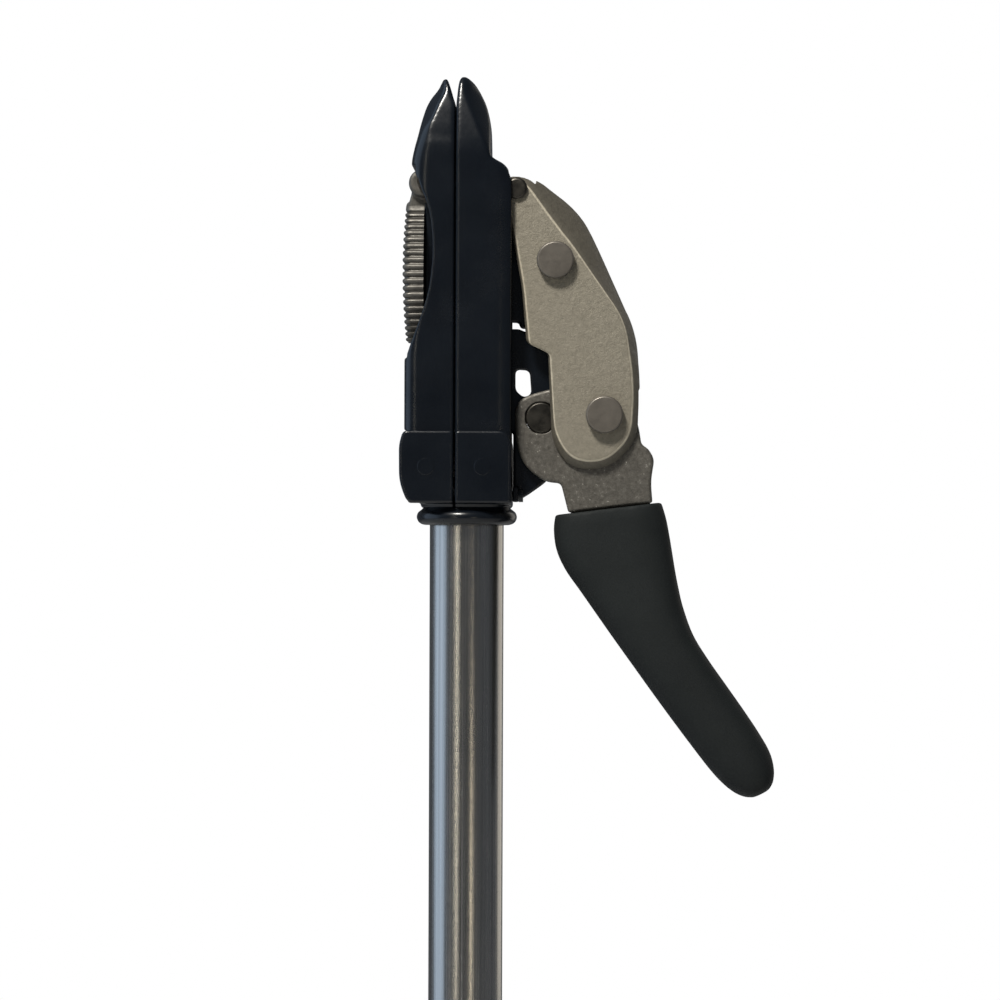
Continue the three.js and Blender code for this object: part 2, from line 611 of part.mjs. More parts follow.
function triggerPin() {
  const end = CHANNEL_DEPTH + 1.4;
  return piece('trigger_pin', barY(TRIGGER_PIVOT, 1.7, -end, end, 24), darkSteel);
}

// A wire of the given radius along a curve.
function wire(curve, radius, steps) {
  const sides = 6;
  const circle = new THREE.Shape();
  for (let i = 0; i < sides; i += 1) {
    const angle = (2 * Math.PI * i) / sides;
    const point = [radius * Math.cos(angle), radius * Math.sin(angle)];
    if (i === 0) circle.moveTo(...point);
    else circle.lineTo(...point);
  }
  return solid(new THREE.ExtrudeGeometry(circle, {
    steps, extrudePath: curve, bevelEnabled: false, curveSegments: 1,
  }));
}

class Helix extends THREE.Curve {
  constructor(place, turns) {
    super();
    this.place = place; // (angle, share of the way) to a point
    this.turns = turns;
  }

  getPoint(t, target = new THREE.Vector3()) {
    return target.copy(this.place(2 * Math.PI * this.turns * t, t));
  }
}

const TRIGGER_SPRING_Z = 72;
function triggerSpring() {
  const start = LEFT_INNER - SPINE - 0.9;
  const end = -15;
  const radius = 2.5;
  const coil = new Helix((angle, t) => new THREE.Vector3(
    start + (end - start) * t,
    radius * Math.cos(angle),
    TRIGGER_SPRING_Z + radius * Math.sin(angle),
  ), 5);
  return piece('trigger_spring', wire(coil, 0.45, 50), springSteel);
}

// ---- Hood link ----------------------------------------------------------------------------------------

// The flat front cheek, and the outline of the crowned body behind it, corner by corner.
const CHEEK_FLAT = [
  [13.6, 115.8, 2.4], [19.6, 114.2, 3], [28.2, 102.2, 5], [36.6, 91.7, 5], [53, 68.6, 7],
  [55.8, 46, 8], [54.6, 29.4, 9], [45.8, 21.6, 8], [35, 22.6, 8], [29.8, 32, 4],
  [28.3, 57.2, 1.4], [21.4, 60.6, 1.4], [19.6, 80, 4], [14.4, 109.6, 2],
];
const HOOD_SIDE = [
  [12.3, 117.2, 3.4], [22.6, 117, 5], [38.4, 105.2, 9], [45.2, 91, 8], [57.1, 64.4, 7],
  [58.4, 45, 8], [57.8, 27, 9], [47.6, 16.6, 8], [32.8, 17, 8], [28.2, 29, 4],
  [27.3, 58, 1.4], [20, 61.2, 1.4], [18.5, 80, 4], [12.5, 109, 2.6],
];
const HOOD_HOLLOW = [
  [-30, 130, 0], [22.6, 130, 0], [23.2, 111, 3], [32.6, 101.6, 5], [39.4, 88.6, 5], [53.4, 61, 6],
  [55.2, 47, 1], [80, 36, 0], [80, -20, 0], [-30, -20, 0],
];

const CHAMFER_SHARE = 0.62; // of the fall from the flat cheek to the outline, the rest is round

// How far out the surface has come once it has fallen by drop: 0 at the flat cheek, 1 at the outline.
function crownReach(drop) {
  let low = 0;
  let high = 1;
  for (let i = 0; i < 24; i += 1) {
    const reach = (low + high) / 2;
    const fall = CHAMFER_SHARE * reach + (1 - CHAMFER_SHARE) * (1 - Math.sqrt(1 - reach ** 2));
    if (fall < drop) low = reach;
    else high = reach;
  }
  return low;
}

function hoodCasting() {
  const flat = outline(CHEEK_FLAT, 3);
  const side = outline(HOOD_SIDE, 3);
  const depths = [0, 0.8, 1.8, 3.4, 6.2, HOOD_OUTER];
  const front = depths.map((d) => d - HOOD_OUTER);
  const levels = [...front, ...front.slice(0, -1).reverse().map((y) => -y)];
  const rings = levels.map((y) => flat.map((p, i) => {
    const spread = side[i].clone().sub(p);
    const crown = Math.min(HOOD_OUTER, 1.15 * spread.length() + 0.4);
    const drop = Math.min(1, (HOOD_OUTER - Math.abs(y)) / crown);
    const at = p.clone().addScaledVector(spread, crownReach(drop));
    return new THREE.Vector3(at.x, y, at.y);
  }));
  const whole = skin(rings, flat, flat);
  return piece('hood_casting', cut(
    whole,
    plate(outline(HOOD_HOLLOW, 2), -HOOD_INNER, HOOD_INNER),
    barY(HOOD_PIVOT, HOOD_PIN_RADIUS + OPEN_PIVOT, -FAR, FAR),
    barY(TIE_PIN, 3.25, -FAR, FAR),
    barY(LINK_PIVOT, 3.25, -FAR, FAR),
  ), castIron);
}

// A shouldered pin with a flat round head on each face of the hood.
function headedPin(name, pivot, shaft, head, face, thick) {
  const top = face + thick;
  return piece(name, turnedY(pivot, [
    [0, -top], [head - 0.5, -top], [head, -top + 0.5], [head, -face], [shaft, -face],
    [shaft, face], [head, face], [head, top - 0.5], [head - 0.5, top], [0, top],
  ]), pinSteel);
}

function hoodPivotPin() {
  const face = HOOD_OUTER + 0.2;
  const top = face + 1.4;
  return piece('hood_pivot_pin', turnedY(HOOD_PIVOT, [
    [0, -top], [2.9, -top], [3.6, -top + 0.5], [3.6, -face], [HOOD_PIN_RADIUS, -face],
    [HOOD_PIN_RADIUS, face], [3.6, face],
    [3.6, top - 0.5], [2.9, top], [0, top],
  ]), darkSteel);
}

function ringOnY(name, pivot, inner, outer, y0, y1, look) {
  return piece(name, cut(barY(pivot, outer, y0, y1), barY(pivot, inner, -FAR, FAR)), look);
}

const SPRING_WIRE = 0.6;
const SPRING_RADIUS = 6.2;
function returnSpring() {
  const turns = 2.625;
  const first = 4;
  const last = first + 2.6;
  const onCoil = (angle, y) => new THREE.Vector3(
    TIE_PIN.x + SPRING_RADIUS * Math.cos(angle), y, TIE_PIN.y + SPRING_RADIUS * Math.sin(angle));
  const points = [new THREE.Vector3(29.5, first, 66), new THREE.Vector3(34.6, first, 78)];
  const steps = 30;
  for (let i = 0; i <= steps; i += 1) {
    const t = i / steps;
    points.push(onCoil(2 * Math.PI * turns * t, first + (last - first) * t));
  }
  points.push(new THREE.Vector3(33, last, 76.8), new THREE.Vector3(43.5, last, 66.5));
  const curve = new THREE.CatmullRomCurve3(points, false, 'centripetal');
  return piece('return_spring', wire(curve, SPRING_WIRE, 64), springSteel);
}

// ---- Lever --------------------------------------------------------------------------------------------

const LEVER_CORNERS = [
  [25.6, 45.4, 5], [16.2, 42, 8], [16.4, 28, 5], [19.6, 19.4, 6], [26.6, 14.6, 4], [31.8, 14.2, 1.5],
  [34.3, 4.35, 0.6], [62.6, 7.8, 0.6], [62, 15, 3], [63.2, 22.4, 2.2], [61.2, 25.8, 1.2], [58.8, 27.4, 1],
  [57.6, 35, 4], [51.4, 46.4, 6], [38, 47.4, 6],
];
const TANG_CORNERS = [
  [35.4, 10, 1], [35.6, -1, 4], [39, -12, 8], [52, -31, 10], [76, -64, 3], [82.5, -59.4, 3],
  [67.4, -34, 10], [64.6, -14, 8], [62, 2, 4], [61, 12, 1],
];
const TANG_HALF = 5.6;

function leverCasting() {
  const body = plate(outline(LEVER_CORNERS, 4), -LEVER_HALF, LEVER_HALF, 0.8);
  const tang = plate(outline(TANG_CORNERS, 4), -TANG_HALF, TANG_HALF);
  const slot = block(-FAR, 38.2, -FORK_INNER, FORK_INNER, 11.6, FAR);
  return piece('lever_casting', cut(
    join(body, tang),
    slot,
    barY(LEVER_PIVOT, 5.25 + RUNNING, -FAR, FAR),
    barY(LINK_PIVOT, 3.1 + RUNNING, -FAR, FAR),
  ), castDark);
}

// The grip's left and right edges, from the lever down to its round end.
const GRIP_PAIRS = [
  [29.9, 3.5, 65.7, 7.9], [29.4, -1.7, 67.4, 2.2], [30.4, -8.5, 68.6, -4], [33.5, -15.2, 69.6, -10],
  [38.3, -22, 70.5, -15.4], [44, -30.1, 71.6, -21], [50, -38.6, 73.2, -27.6], [57.5, -49, 76.6, -36.8],
  [64, -58, 81.9, -45.4], [70.5, -66.8, 88, -54], [77, -75.4, 94, -62.5], [82.5, -82.4, 99, -70],
  [86.6, -86.8, 102.5, -76.2], [90.4, -89.8, 104.1, -81.6], [93.8, -91.3, 103.9, -86],
  [96.9, -91.6, 102.4, -88.8],
];
const GRIP_HALF = 9.6;

function gripRings(steps) {
  const left = new THREE.CatmullRomCurve3(GRIP_PAIRS.map(([x, z]) => new THREE.Vector3(x, 0, z)));
  const right = new THREE.CatmullRomCurve3(GRIP_PAIRS.map(([, , x, z]) => new THREE.Vector3(x, 0, z)));
  const spans = GRIP_PAIRS.length - 1;
  const sides = 16;
  const rings = [];
  for (let k = 0; k <= spans * steps; k += 1) {
    const t = k / (spans * steps);
    const a = left.getPoint(t);
    const b = right.getPoint(t);
    const middle = a.clone().add(b).multiplyScalar(0.5);
    const halfWidth = b.clone().sub(a).multiplyScalar(0.5);
    const fromEnd = (1 - t) * spans;
    const tipShare = Math.min(1, (fromEnd + 0.35) / 4.4);
    const topShare = Math.min(1, (t * spans + 0.5) / 1.1);
    const depth = GRIP_HALF * Math.sqrt(1 - (1 - tipShare) ** 2) * (0.93 + 0.07 * topShare);
    const power = 2 / (2.7 - 0.6 * t);
    rings.push(Array.from({ length: sides }, (_, i) => {
      const angle = (2 * Math.PI * (i + 0.5)) / sides;
      const across = Math.sign(Math.cos(angle)) * Math.abs(Math.cos(angle)) ** power;
      const deep = Math.sign(Math.sin(angle)) * Math.abs(Math.sin(angle)) ** power;
      return middle.clone().addScaledVector(halfWidth, across).add(new THREE.Vector3(0, depth * deep, 0));
    }));
  }
  return rings;
}

function leverGrip() {
  const rings = gripRings(2);
  const flatRing = (ring) => ring.map((p) => new THREE.Vector2(p.x, p.y));
  const body = skin(rings, flatRing(rings[0]), flatRing(rings.at(-1)));
  const room = 0.3;
  const grown = outline(TANG_CORNERS, 4).map((p) => {
    const middle = new THREE.Vector2(57, -20);
    return p.clone().add(p.clone().sub(middle).normalize().multiplyScalar(room * 1.6));
  });
  const pocket = plate(grown, -TANG_HALF - room, TANG_HALF + room);
  return piece('lever_grip', body.subtract(pocket), vinylBlack);
}

// ---- Assembly: one group for each body that moves as a whole ------------------------------------------

function bodyGroup(name, ...meshes) {
  const group = new THREE.Group();
  group.name = name;
  group.add(...meshes);
  return group;
}

const pole = bodyGroup(
  'pole',
  poleTube(),
  poleEndCap(),
  tubeSpigot(),
  spigotPin(),
  collarRing(),
  housingHalf('left_housing', LEFT_CHEEK, -19, SEAM_X - HOUSING_SEAM, HOUSING_SCREW_X.left, LEFT_PIVOT),
  housingHalf('right_housing', RIGHT_CHEEK, SEAM_X + HOUSING_SEAM, 15.3, HOUSING_SCREW_X.right, RIGHT_PIVOT),
  housingScrew('left'),
  housingScrew('right'),
  jawPin('left_jaw_pin', LEFT_PIVOT),
  jawPin('right_jaw_pin', RIGHT_PIVOT),
  leverBracket(),
  bracketScrew(FOOT_SCREWS[0], 'bracket_screw_front'),
  bracketScrew(FOOT_SCREWS[1], 'bracket_screw_rear'),
  leverPivotPin(),
);
const leftJaw = bodyGroup(
  'left_jaw',
  leftJawShell(),
  gearSector('left_gear_sector', LEFT_PIVOT, -1, [-15, 15]),
  gearScrew('left_gear_screw', -1),
  jawPad('left_jaw_pad', -1),
  triggerPin(),
  triggerSpring(),
);
const trigger = bodyGroup('trigger', thumbTrigger(), triggerArm());
const rightJaw = bodyGroup(
  'right_jaw',
  rightJawShell(),
  gearSector('right_gear_sector', RIGHT_PIVOT, 1, [150, 180, 210]),
  gearScrew('right_gear_screw', 1),
  jawPad('right_jaw_pad', 1),
  hoodPivotPin(),
);
const lever = bodyGroup('lever', leverCasting(), leverGrip());
const hood = bodyGroup(
  'hood',
  hoodCasting(),
  headedPin('hood_tie_pin', TIE_PIN, 3.1, 6.25, HOOD_OUTER + 0.1, 3.1),
  headedPin('link_pin', LINK_PIVOT, 3.1, 6.25, HOOD_OUTER + 0.1, 3.3),
  ringOnY('tie_pin_sleeve', TIE_PIN, 3.3, 4.9, -HOOD_INNER + 0.2, HOOD_INNER - 0.2, pinSteel),
  ringOnY('hood_spacer_front', HOOD_PIVOT, 2.7, 4, -HOOD_INNER + 0.2, -BRACKET_HALF - 0.2, pinSteel),
  ringOnY('hood_spacer_rear', HOOD_PIVOT, 2.7, 4, BRACKET_HALF + 0.2, HOOD_INNER - 0.2, pinSteel),
  returnSpring(),
);

const grabber = new THREE.Group();
grabber.name = 'reacher_grabber';
grabber.add(pole, leftJaw, trigger, rightJaw, lever, hood);
grabber.position.z = POLE_LENGTH;

export default grabber;
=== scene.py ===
import json
import math

import bmesh
import bpy
from mathutils import Euler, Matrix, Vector

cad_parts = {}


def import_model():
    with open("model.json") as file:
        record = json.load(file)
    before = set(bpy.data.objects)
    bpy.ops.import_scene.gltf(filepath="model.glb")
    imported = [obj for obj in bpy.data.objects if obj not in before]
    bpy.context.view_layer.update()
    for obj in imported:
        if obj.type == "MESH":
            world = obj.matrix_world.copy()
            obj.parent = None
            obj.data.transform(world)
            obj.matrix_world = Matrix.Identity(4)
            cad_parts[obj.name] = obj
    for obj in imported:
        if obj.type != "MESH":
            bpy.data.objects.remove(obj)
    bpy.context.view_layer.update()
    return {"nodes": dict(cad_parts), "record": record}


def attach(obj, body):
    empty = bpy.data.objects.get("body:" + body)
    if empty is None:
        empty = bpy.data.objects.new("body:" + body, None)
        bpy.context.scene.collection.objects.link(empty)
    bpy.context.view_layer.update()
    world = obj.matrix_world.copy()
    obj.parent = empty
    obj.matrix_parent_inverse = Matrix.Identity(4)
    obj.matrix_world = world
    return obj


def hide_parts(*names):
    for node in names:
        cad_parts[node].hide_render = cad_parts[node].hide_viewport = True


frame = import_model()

# Reacher grabber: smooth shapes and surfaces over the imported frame. Shapes are drawn in millimetres in the
# head's own frame, whose zero is on the pole's axis at the bottom of the collar ring, and placed in metres.
MM = 0.001
HEAD_Z = 0.510

SEAM_X = -3.8
SEAM_GAP = 0.3
JAW_PIVOT_Z = 19.6
RIGHT_PIVOT = (5.65, JAW_PIVOT_Z)
LEFT_PIVOT = (-13.25, JAW_PIVOT_Z)
LEVER_PIVOT = (25, 36.2)
LINK_PIVOT = (46.3, 37.2)
HOOD_PIVOT = (16.6, 112.9)
TIE_PIN = (29.7, 88.9)
TRIGGER_PIVOT = (-15, 115)
TUBE_RADIUS = 12.5
TUBE_WALL = 1.5
TUBE_TOP = 9.4
JAW_DEPTH = 15.5
CHANNEL_DEPTH = 13
CHEEK_INNER = 15.8
CHEEK_OUTER = 17.8
BRACKET_HALF = 2.7
FORK_INNER = 3.1
LEVER_HALF = 7.2
HOOD_INNER = 7.6
HOOD_OUTER = 11
STUD_RADIUS = 5.25
EYE_PIN_RADIUS = 2.5
RIVET_SHAFT = 3.1
RIVET_HEAD = 6.25
CUFF_TOP = 31.6
FAR = 60  # how far a cutting shape reaches past what it cuts


# ---- Drawing ------------------------------------------------------------------------------------------

def place(x, y, h):
    return (x * MM, y * MM, HEAD_Z + h * MM)


def bend(before, corner, after, radius, share, steps):
    """Points of the short curve that takes the place of a corner. It uses up no more than that share
    of either side."""
    back = before - corner
    ahead = after - corner
    reach = min(radius, share * back.length, share * ahead.length)
    start = corner + back.normalized() * reach
    end = corner + ahead.normalized() * reach
    shares = [k / steps for k in range(steps + 1)]
    return [start * (1 - t) ** 2 + corner * 2 * t * (1 - t) + end * t ** 2 for t in shares]


def outline(corners, steps=8):
    """Points of a closed outline from corners (x, h, radius), each corner turned into a short curve."""
    points = []
    for i, (x, h, radius) in enumerate(corners):
        corner = Vector((x, h))
        if radius == 0:
            points.append(corner)
            continue
        before = Vector(corners[i - 1][:2])
        after = Vector(corners[(i + 1) % len(corners)][:2])
        points += bend(before, corner, after, radius, 0.48, steps)
    return points


def area_of(points):
    return sum(a.x * b.y - b.x * a.y for a, b in zip(points, points[1:] + points[:1])) / 2


def inset(points, by):
    """The outline pulled in by `by` along its own normals."""
    turn = 1 if area_of(points) > 0 else -1
    moved = []
    for i, p in enumerate(points):
        before = (p - points[i - 1]).normalized()
        after = (points[(i + 1) % len(points)] - p).normalized()
        along = (before + after).normalized()
        stretch = max(0.5, along.dot(after))
        moved.append(Vector((p.x - by * turn * along.y / stretch, p.y + by * turn * along.x / stretch)))
    return moved


def new_object(name, mesh):
    obj = bpy.data.objects.new(name, mesh)
    bpy.context.scene.collection.objects.link(obj)
    return obj


def skin(name, rings, closed_ring=False):
    """A closed skin through rings of (x, y, h) points, capped at both ends unless the rings close up."""
    count = len(rings[0])
    verts = [place(*p) for ring in rings for p in ring]
    faces = []
    spans = len(rings) if closed_ring else len(rings) - 1
    for k in range(spans):
        ahead = ((k + 1) % len(rings)) * count
        for i in range(count):
            j = (i + 1) % count
            faces.append((k * count + i, k * count + j, ahead + j, ahead + i))
    if not closed_ring:
        last = (len(rings) - 1) * count
        faces.append(tuple(range(count)))
        faces.append(tuple(range(last, last + count)))
    mesh = bpy.data.meshes.new(name)
    mesh.from_pydata(verts, [], faces)
    shape = bmesh.new()
    shape.from_mesh(mesh)
    bmesh.ops.remove_doubles(shape, verts=shape.verts, dist=1e-7)
    bmesh.ops.triangulate(shape, faces=[f for f in shape.faces if len(f.verts) > 4])
    bmesh.ops.recalc_face_normals(shape, faces=shape.faces)
    shape.to_mesh(mesh)
    shape.free()
    return new_object(name, mesh)


def plate(name, points, y0, y1, bevel=0.0, rounds=4):
    """A plate of that outline from y0 to y1, its edges rounded over by bevel."""
    levels = [(0.0, y0), (0.0, y1)]
    if bevel > 0:
        arc = [math.pi / 2 * k / rounds for k in range(rounds + 1)]
        low = [(bevel * (1 - math.sin(a)), y0 + bevel * (1 - math.cos(a))) for a in arc]
        high = [(by, y1 + y0 - y) for by, y in reversed(low)]
        levels = low + high
    rings = [[(p.x, y, p.y) for p in inset(points, by)] for by, y in levels]
    return skin(name, rings)


def block(name, x0, x1, y0, y1, h0, h1):
    corners = [Vector((x0, h0)), Vector((x1, h0)), Vector((x1, h1)), Vector((x0, h1))]
    return plate(name, corners, y0, y1)


def bar_y(name, pivot, radius, y0, y1, sides=64):
    points = [
        Vector((pivot[0] + radius * math.cos(a), pivot[1] + radius * math.sin(a)))
        for a in (2 * math.pi * k / sides for k in range(sides))
    ]
    return plate(name, points, y0, y1)


def softened(profile, radius, steps=4):
    """An open profile with the corners between its ends rounded over."""
    stops = [Vector(point) for point in profile]
    points = [stops[0]]
    for before, corner, after in zip(stops, stops[1:], stops[2:]):
        points += bend(before, corner, after, radius, 0.45, steps)
    return points + [stops[-1]]


def turned(name, profile, pivot=None, sides=96, radius=0.35):
    """A turned piece from (distance from the axis, distance along it) points: on the pole's axis, or
    along Y at a pivot. A profile that starts and ends on the axis is solid, and any other closes on
    itself. Its corners are rounded over by radius."""
    solid = profile[0][0] == 0
    points = softened(profile if solid else profile + profile[:2], radius)
    if not solid:
        points = points[1:-1]
    rings = []
    for p in points:
        reach = max(p.x, 1e-4)
        ring = []
        for k in range(sides):
            a = 2 * math.pi * k / sides
            u, v = reach * math.cos(a), reach * math.sin(a)
            ring.append((pivot[0] + u, p.y, pivot[1] + v) if pivot else (u, v, p.y))
        rings.append(ring)
    return skin(name, rings, closed_ring=not solid)


def bake_modifiers(obj):
    graph = bpy.context.evaluated_depsgraph_get()
    mesh = bpy.data.meshes.new_from_object(obj.evaluated_get(graph))
    old = obj.data
    obj.modifiers.clear()
    obj.data = mesh
    bpy.data.meshes.remove(old)
    return obj


def discard(*objs):
    for obj in objs:
        mesh = obj.data
        bpy.data.objects.remove(obj)
        bpy.data.meshes.remove(mesh)


def cut(obj, *tools):
    for tool in tools:
        step = obj.modifiers.new("cut", "BOOLEAN")
        step.operation = "DIFFERENCE"
        step.solver = "EXACT"
        step.object = tool
    bake_modifiers(obj)
    discard(*tools)
    return obj


def merge(name, *objs):
    """One object that holds all of these shells."""
    shape = bmesh.new()
    for obj in objs:
        shape.from_mesh(obj.data)
    mesh = bpy.data.meshes.new(name)
    shape.to_mesh(mesh)
    shape.free()
    discard(*objs)
    return new_object(name, mesh)


def soften(obj, voxel, passes):
    """Fuses a piece's shells into one skin and rounds its edges, as casting and moulding do."""
    step = obj.modifiers.new("fuse", "REMESH")
    step.mode = "VOXEL"
    step.voxel_size = voxel * MM
    relax = obj.modifiers.new("relax", "SMOOTH")
    relax.factor = 0.5
    relax.iterations = passes
    bake_modifiers(obj)
    obj.data.shade_smooth()
    return obj


def shade(obj, degrees=35):
    obj.data.shade_smooth()
    obj.data.set_sharp_from_angle(angle=math.radians(degrees))
    return obj


def monotone(xs, ys, x):
    """A smooth value between table points that never overshoots them."""
    i = max(k for k in range(len(xs) - 1) if xs[k] <= x or k == 0)
    slopes = [(ys[k + 1] - ys[k]) / (xs[k + 1] - xs[k]) for k in range(len(xs) - 1)]

    def tangent(k):
        if k == 0:
            return slopes[0]
        if k == len(xs) - 1:
            return slopes[-1]
        a, b = slopes[k - 1], slopes[k]
        return 0.0 if a * b <= 0 else 2 * a * b / (a + b)

    width = xs[i + 1] - xs[i]
    t = (x - xs[i]) / width
    m0, m1 = tangent(i) * width, tangent(i + 1) * width
    return (
        ys[i] * (2 * t ** 3 - 3 * t ** 2 + 1) + m0 * (t ** 3 - 2 * t ** 2 + t)
        + ys[i + 1] * (3 * t ** 2 - 2 * t ** 3) + m1 * (t ** 3 - t ** 2)
    )


# ---- Jaws ---------------------------------------------------------------------------------------------

RIGHT_INNER = SEAM_X + SEAM_GAP / 2
LEFT_INNER = SEAM_X - SEAM_GAP / 2

# Height, seam-side x, outer x, half depth, corner width, corner depth, corner bend.
RIGHT_JAW_ROWS = [
    (JAW_PIVOT_Z, RIGHT_INNER, 15.2, JAW_DEPTH, 5.1, 1.7, 1.5),
    (112, RIGHT_INNER, 15.2, JAW_DEPTH, 5.1, 1.7, 1.5),
    (116.8, RIGHT_INNER, 14.8, JAW_DEPTH, 5, 2.2, 1.6),
    (119.6, RIGHT_INNER, 13.6, JAW_DEPTH, 4.6, 3, 1.8),
    (121.4, RIGHT_INNER, 11.8, JAW_DEPTH, 3.6, 3.6, 1.8),
    (122.6, RIGHT_INNER, 9.4, JAW_DEPTH, 2, 2.6, 1.5),
    (123.6, RIGHT_INNER, 8, JAW_DEPTH, 0.8, 1, 1.1),
    (128, RIGHT_INNER, 8, 15.1, 2.2, 2.9, 1.1),
    (133, RIGHT_INNER, 7.9, 14.2, 4, 5, 1.1),
    (137, RIGHT_INNER, 7.4, 13.3, 5.1, 6.3, 1.1),
    (141, RIGHT_INNER, 6.4, 12.3, 5.7, 7, 1.12),
    (144, -3.4, 5.1, 11.4, 5.6, 7, 1.2),
    (146.6, -3.15, 3.7, 10.6, 5, 6.6, 1.35),
    (148.6, -2.9, 2.3, 9.8, 3.9, 5.6, 1.6),
    (149.9, -2.5, 0.9, 8.9, 2.3, 4.2, 1.8),
    (150.7, -1.9, -0.4, 7.6, 0.6, 2, 2),
]
LEFT_JAW_ROWS = [
    (JAW_PIVOT_Z, LEFT_INNER, -20.8, JAW_DEPTH, 4.6, 4.6, 2),
    (55, LEFT_INNER, -20.8, JAW_DEPTH, 4.6, 4.6, 2),
    (66, LEFT_INNER, -20.3, JAW_DEPTH, 5, 5, 2),
    (104, LEFT_INNER, -19.2, JAW_DEPTH, 6, 6, 2),
    (118, LEFT_INNER, -18.8, JAW_DEPTH, 6.2, 6.2, 2),
    (121.7, LEFT_INNER, -18.6, JAW_DEPTH, 6.2, 6.2, 2),
    (126.8, LEFT_INNER, -17.6, 15.3, 5.6, 6, 1.9),
    (130.5, LEFT_INNER, -16.6, 14.6, 4.4, 5.6, 1.7),
    (133.5, LEFT_INNER, -15.9, 14.1, 3.6, 5.4, 1.3),
    (137, LEFT_INNER, -15, 13.3, 4, 6, 1.1),
    (141, LEFT_INNER, -13.7, 12.3, 4.4, 6.6, 1.12),
    (144, -4.95, -12, 11.4, 4.2, 6.4, 1.2),
    (146.6, -5.6, -9.9, 10.6, 3, 6, 1.4),
    (148.6, -6.3, -8.9, 9.6, 2, 5, 1.7),
    (150, -6.8, -8.1, 8.4, 0.5, 2.4, 2),
]
SCOOP_CORNERS = [
    (-40, 122.6, 0), (-19.4, 122.6, 0.5), (-16.5, 115.5, 8), (-12.2, 105.5, 9), (-11, 92, 16),
    (-12.6, 77.5, 14), (-16.6, 66, 10), (-20, 57.2, 5), (-21.6, 54.5, 0.5), (-40, 54.5, 0),
]
RIB_CORNERS = [
    (-2, 68.4, 0.3), (17.5, 68.4, 0.3), (17.7, 66.6, 0.4), (20.2, 66.1, 0.8), (19.6, 84, 6),
    (17.6, 103, 4), (21.1, 110.5, 4), (20.4, 117.1, 4), (12.6, 117.2, 3), (-2, 119, 0.3),
]
HUB_RADIUS = 7.2
SPINE = 2.65  # thickness of the wall along the seam
ROOF_RIGHT = 118.2
ROOF_LEFT = 120.3
RING_SPACING = 1.2


def mirrored(front, h):
    """A closed ring at height h from the (x, y) points of its front half."""
    back = [(x, -y) for x, y in reversed(front)]
    return [(x, y, h) for x, y in front + back]


def jaw_section(h, inner, outer, depth, corner_x, corner_y, bend, steps=14):
    side = 1 if outer > inner else -1
    lip = 0.6
    front = [(inner, -depth + lip), (inner + side * lip, -depth)]
    for i in range(steps + 1):
        angle = math.pi / 2 * i / steps
        across = 1 - math.sin(angle) ** (2 / bend)
        deep = 1 - max(0.0, math.cos(angle)) ** (2 / bend)
        front.append((outer - side * corner_x * across, -depth + corner_y * deep))
    return mirrored(front, h)


def jaw_solid(name, rows):
    heights = [row[0] for row in rows]
    columns = list(zip(*rows))[1:]
    levels = []
    for low, high in zip(heights, heights[1:]):
        count = max(1, round((high - low) / RING_SPACING))
        levels += [low + (high - low) * k / count for k in range(count)]
    levels.append(heights[-1])
    return skin(name, [jaw_section(h, *(monotone(heights, c, h) for c in columns)) for h in levels])


def hub_discs(name, pivot):
    return merge(
        name,
        bar_y("disc", pivot, HUB_RADIUS, -JAW_DEPTH, -CHANNEL_DEPTH),
        bar_y("disc", pivot, HUB_RADIUS, CHANNEL_DEPTH, JAW_DEPTH),
    )


def right_jaw():
    shell = cut(
        jaw_solid("shell", RIGHT_JAW_ROWS),
        block("channel", RIGHT_INNER + SPINE, FAR, -CHANNEL_DEPTH, CHANNEL_DEPTH, CUFF_TOP, ROOF_RIGHT),
        block("foot", -FAR, FAR, -CHANNEL_DEPTH, CHANNEL_DEPTH, 0, CUFF_TOP + 0.01),
    )
    rib = plate("rib", outline(RIB_CORNERS, 8), -BRACKET_HALF, BRACKET_HALF)
    whole = merge("right_jaw_body", shell, rib, hub_discs("hubs", RIGHT_PIVOT))
    return soften(whole, voxel=0.45, passes=14)


def left_jaw():
    spine = LEFT_INNER - SPINE
    shell = cut(
        jaw_solid("shell", LEFT_JAW_ROWS),
        block("channel", -FAR, spine, -CHANNEL_DEPTH, CHANNEL_DEPTH, 56, ROOF_LEFT),
        block("pocket", -18.3, spine, -CHANNEL_DEPTH, CHANNEL_DEPTH, CUFF_TOP - 1, 57),
        block("foot", -FAR, FAR, -CHANNEL_DEPTH, CHANNEL_DEPTH, 0, CUFF_TOP),
        plate("scoop", outline(SCOOP_CORNERS, 14), -FAR, FAR),
    )
    whole = merge("left_jaw_body", shell, hub_discs("hubs", LEFT_PIVOT))
    return soften(whole, voxel=0.43, passes=14)


# ---- Housing and bracket ------------------------------------------------------------------------------

HOUSING_SEAM = 0.3
SEAM_LEFT = SEAM_X - HOUSING_SEAM
SEAM_RIGHT = SEAM_X + HOUSING_SEAM
BASE_LEFT = -19
BASE_RIGHT = 15.3
BASE_FLOOR = 7.4
BASE_TOP = 12
BASE_STEP = 0.4  # how far the base stands back from the cheeks' faces
LEFT_CHEEK = [
    (SEAM_LEFT, BASE_FLOOR, 1), (-19.4, BASE_FLOOR, 2.4), (-22.2, 14.5, 5), (-22.3, 27, 3),
    (-20.9, CUFF_TOP, 1.6), (SEAM_LEFT, CUFF_TOP, 1),
]
RIGHT_CHEEK = [
    (SEAM_RIGHT, CUFF_TOP, 1), (13.2, CUFF_TOP, 2.2), (BASE_RIGHT, 28, 2),
    (BASE_RIGHT, BASE_FLOOR, 1.2), (SEAM_RIGHT, BASE_FLOOR, 1),
]
NECK = [(13, 5.8), (15.2, 5.8), (15.6, 6.6), (15.6, 8), (13, 8)]
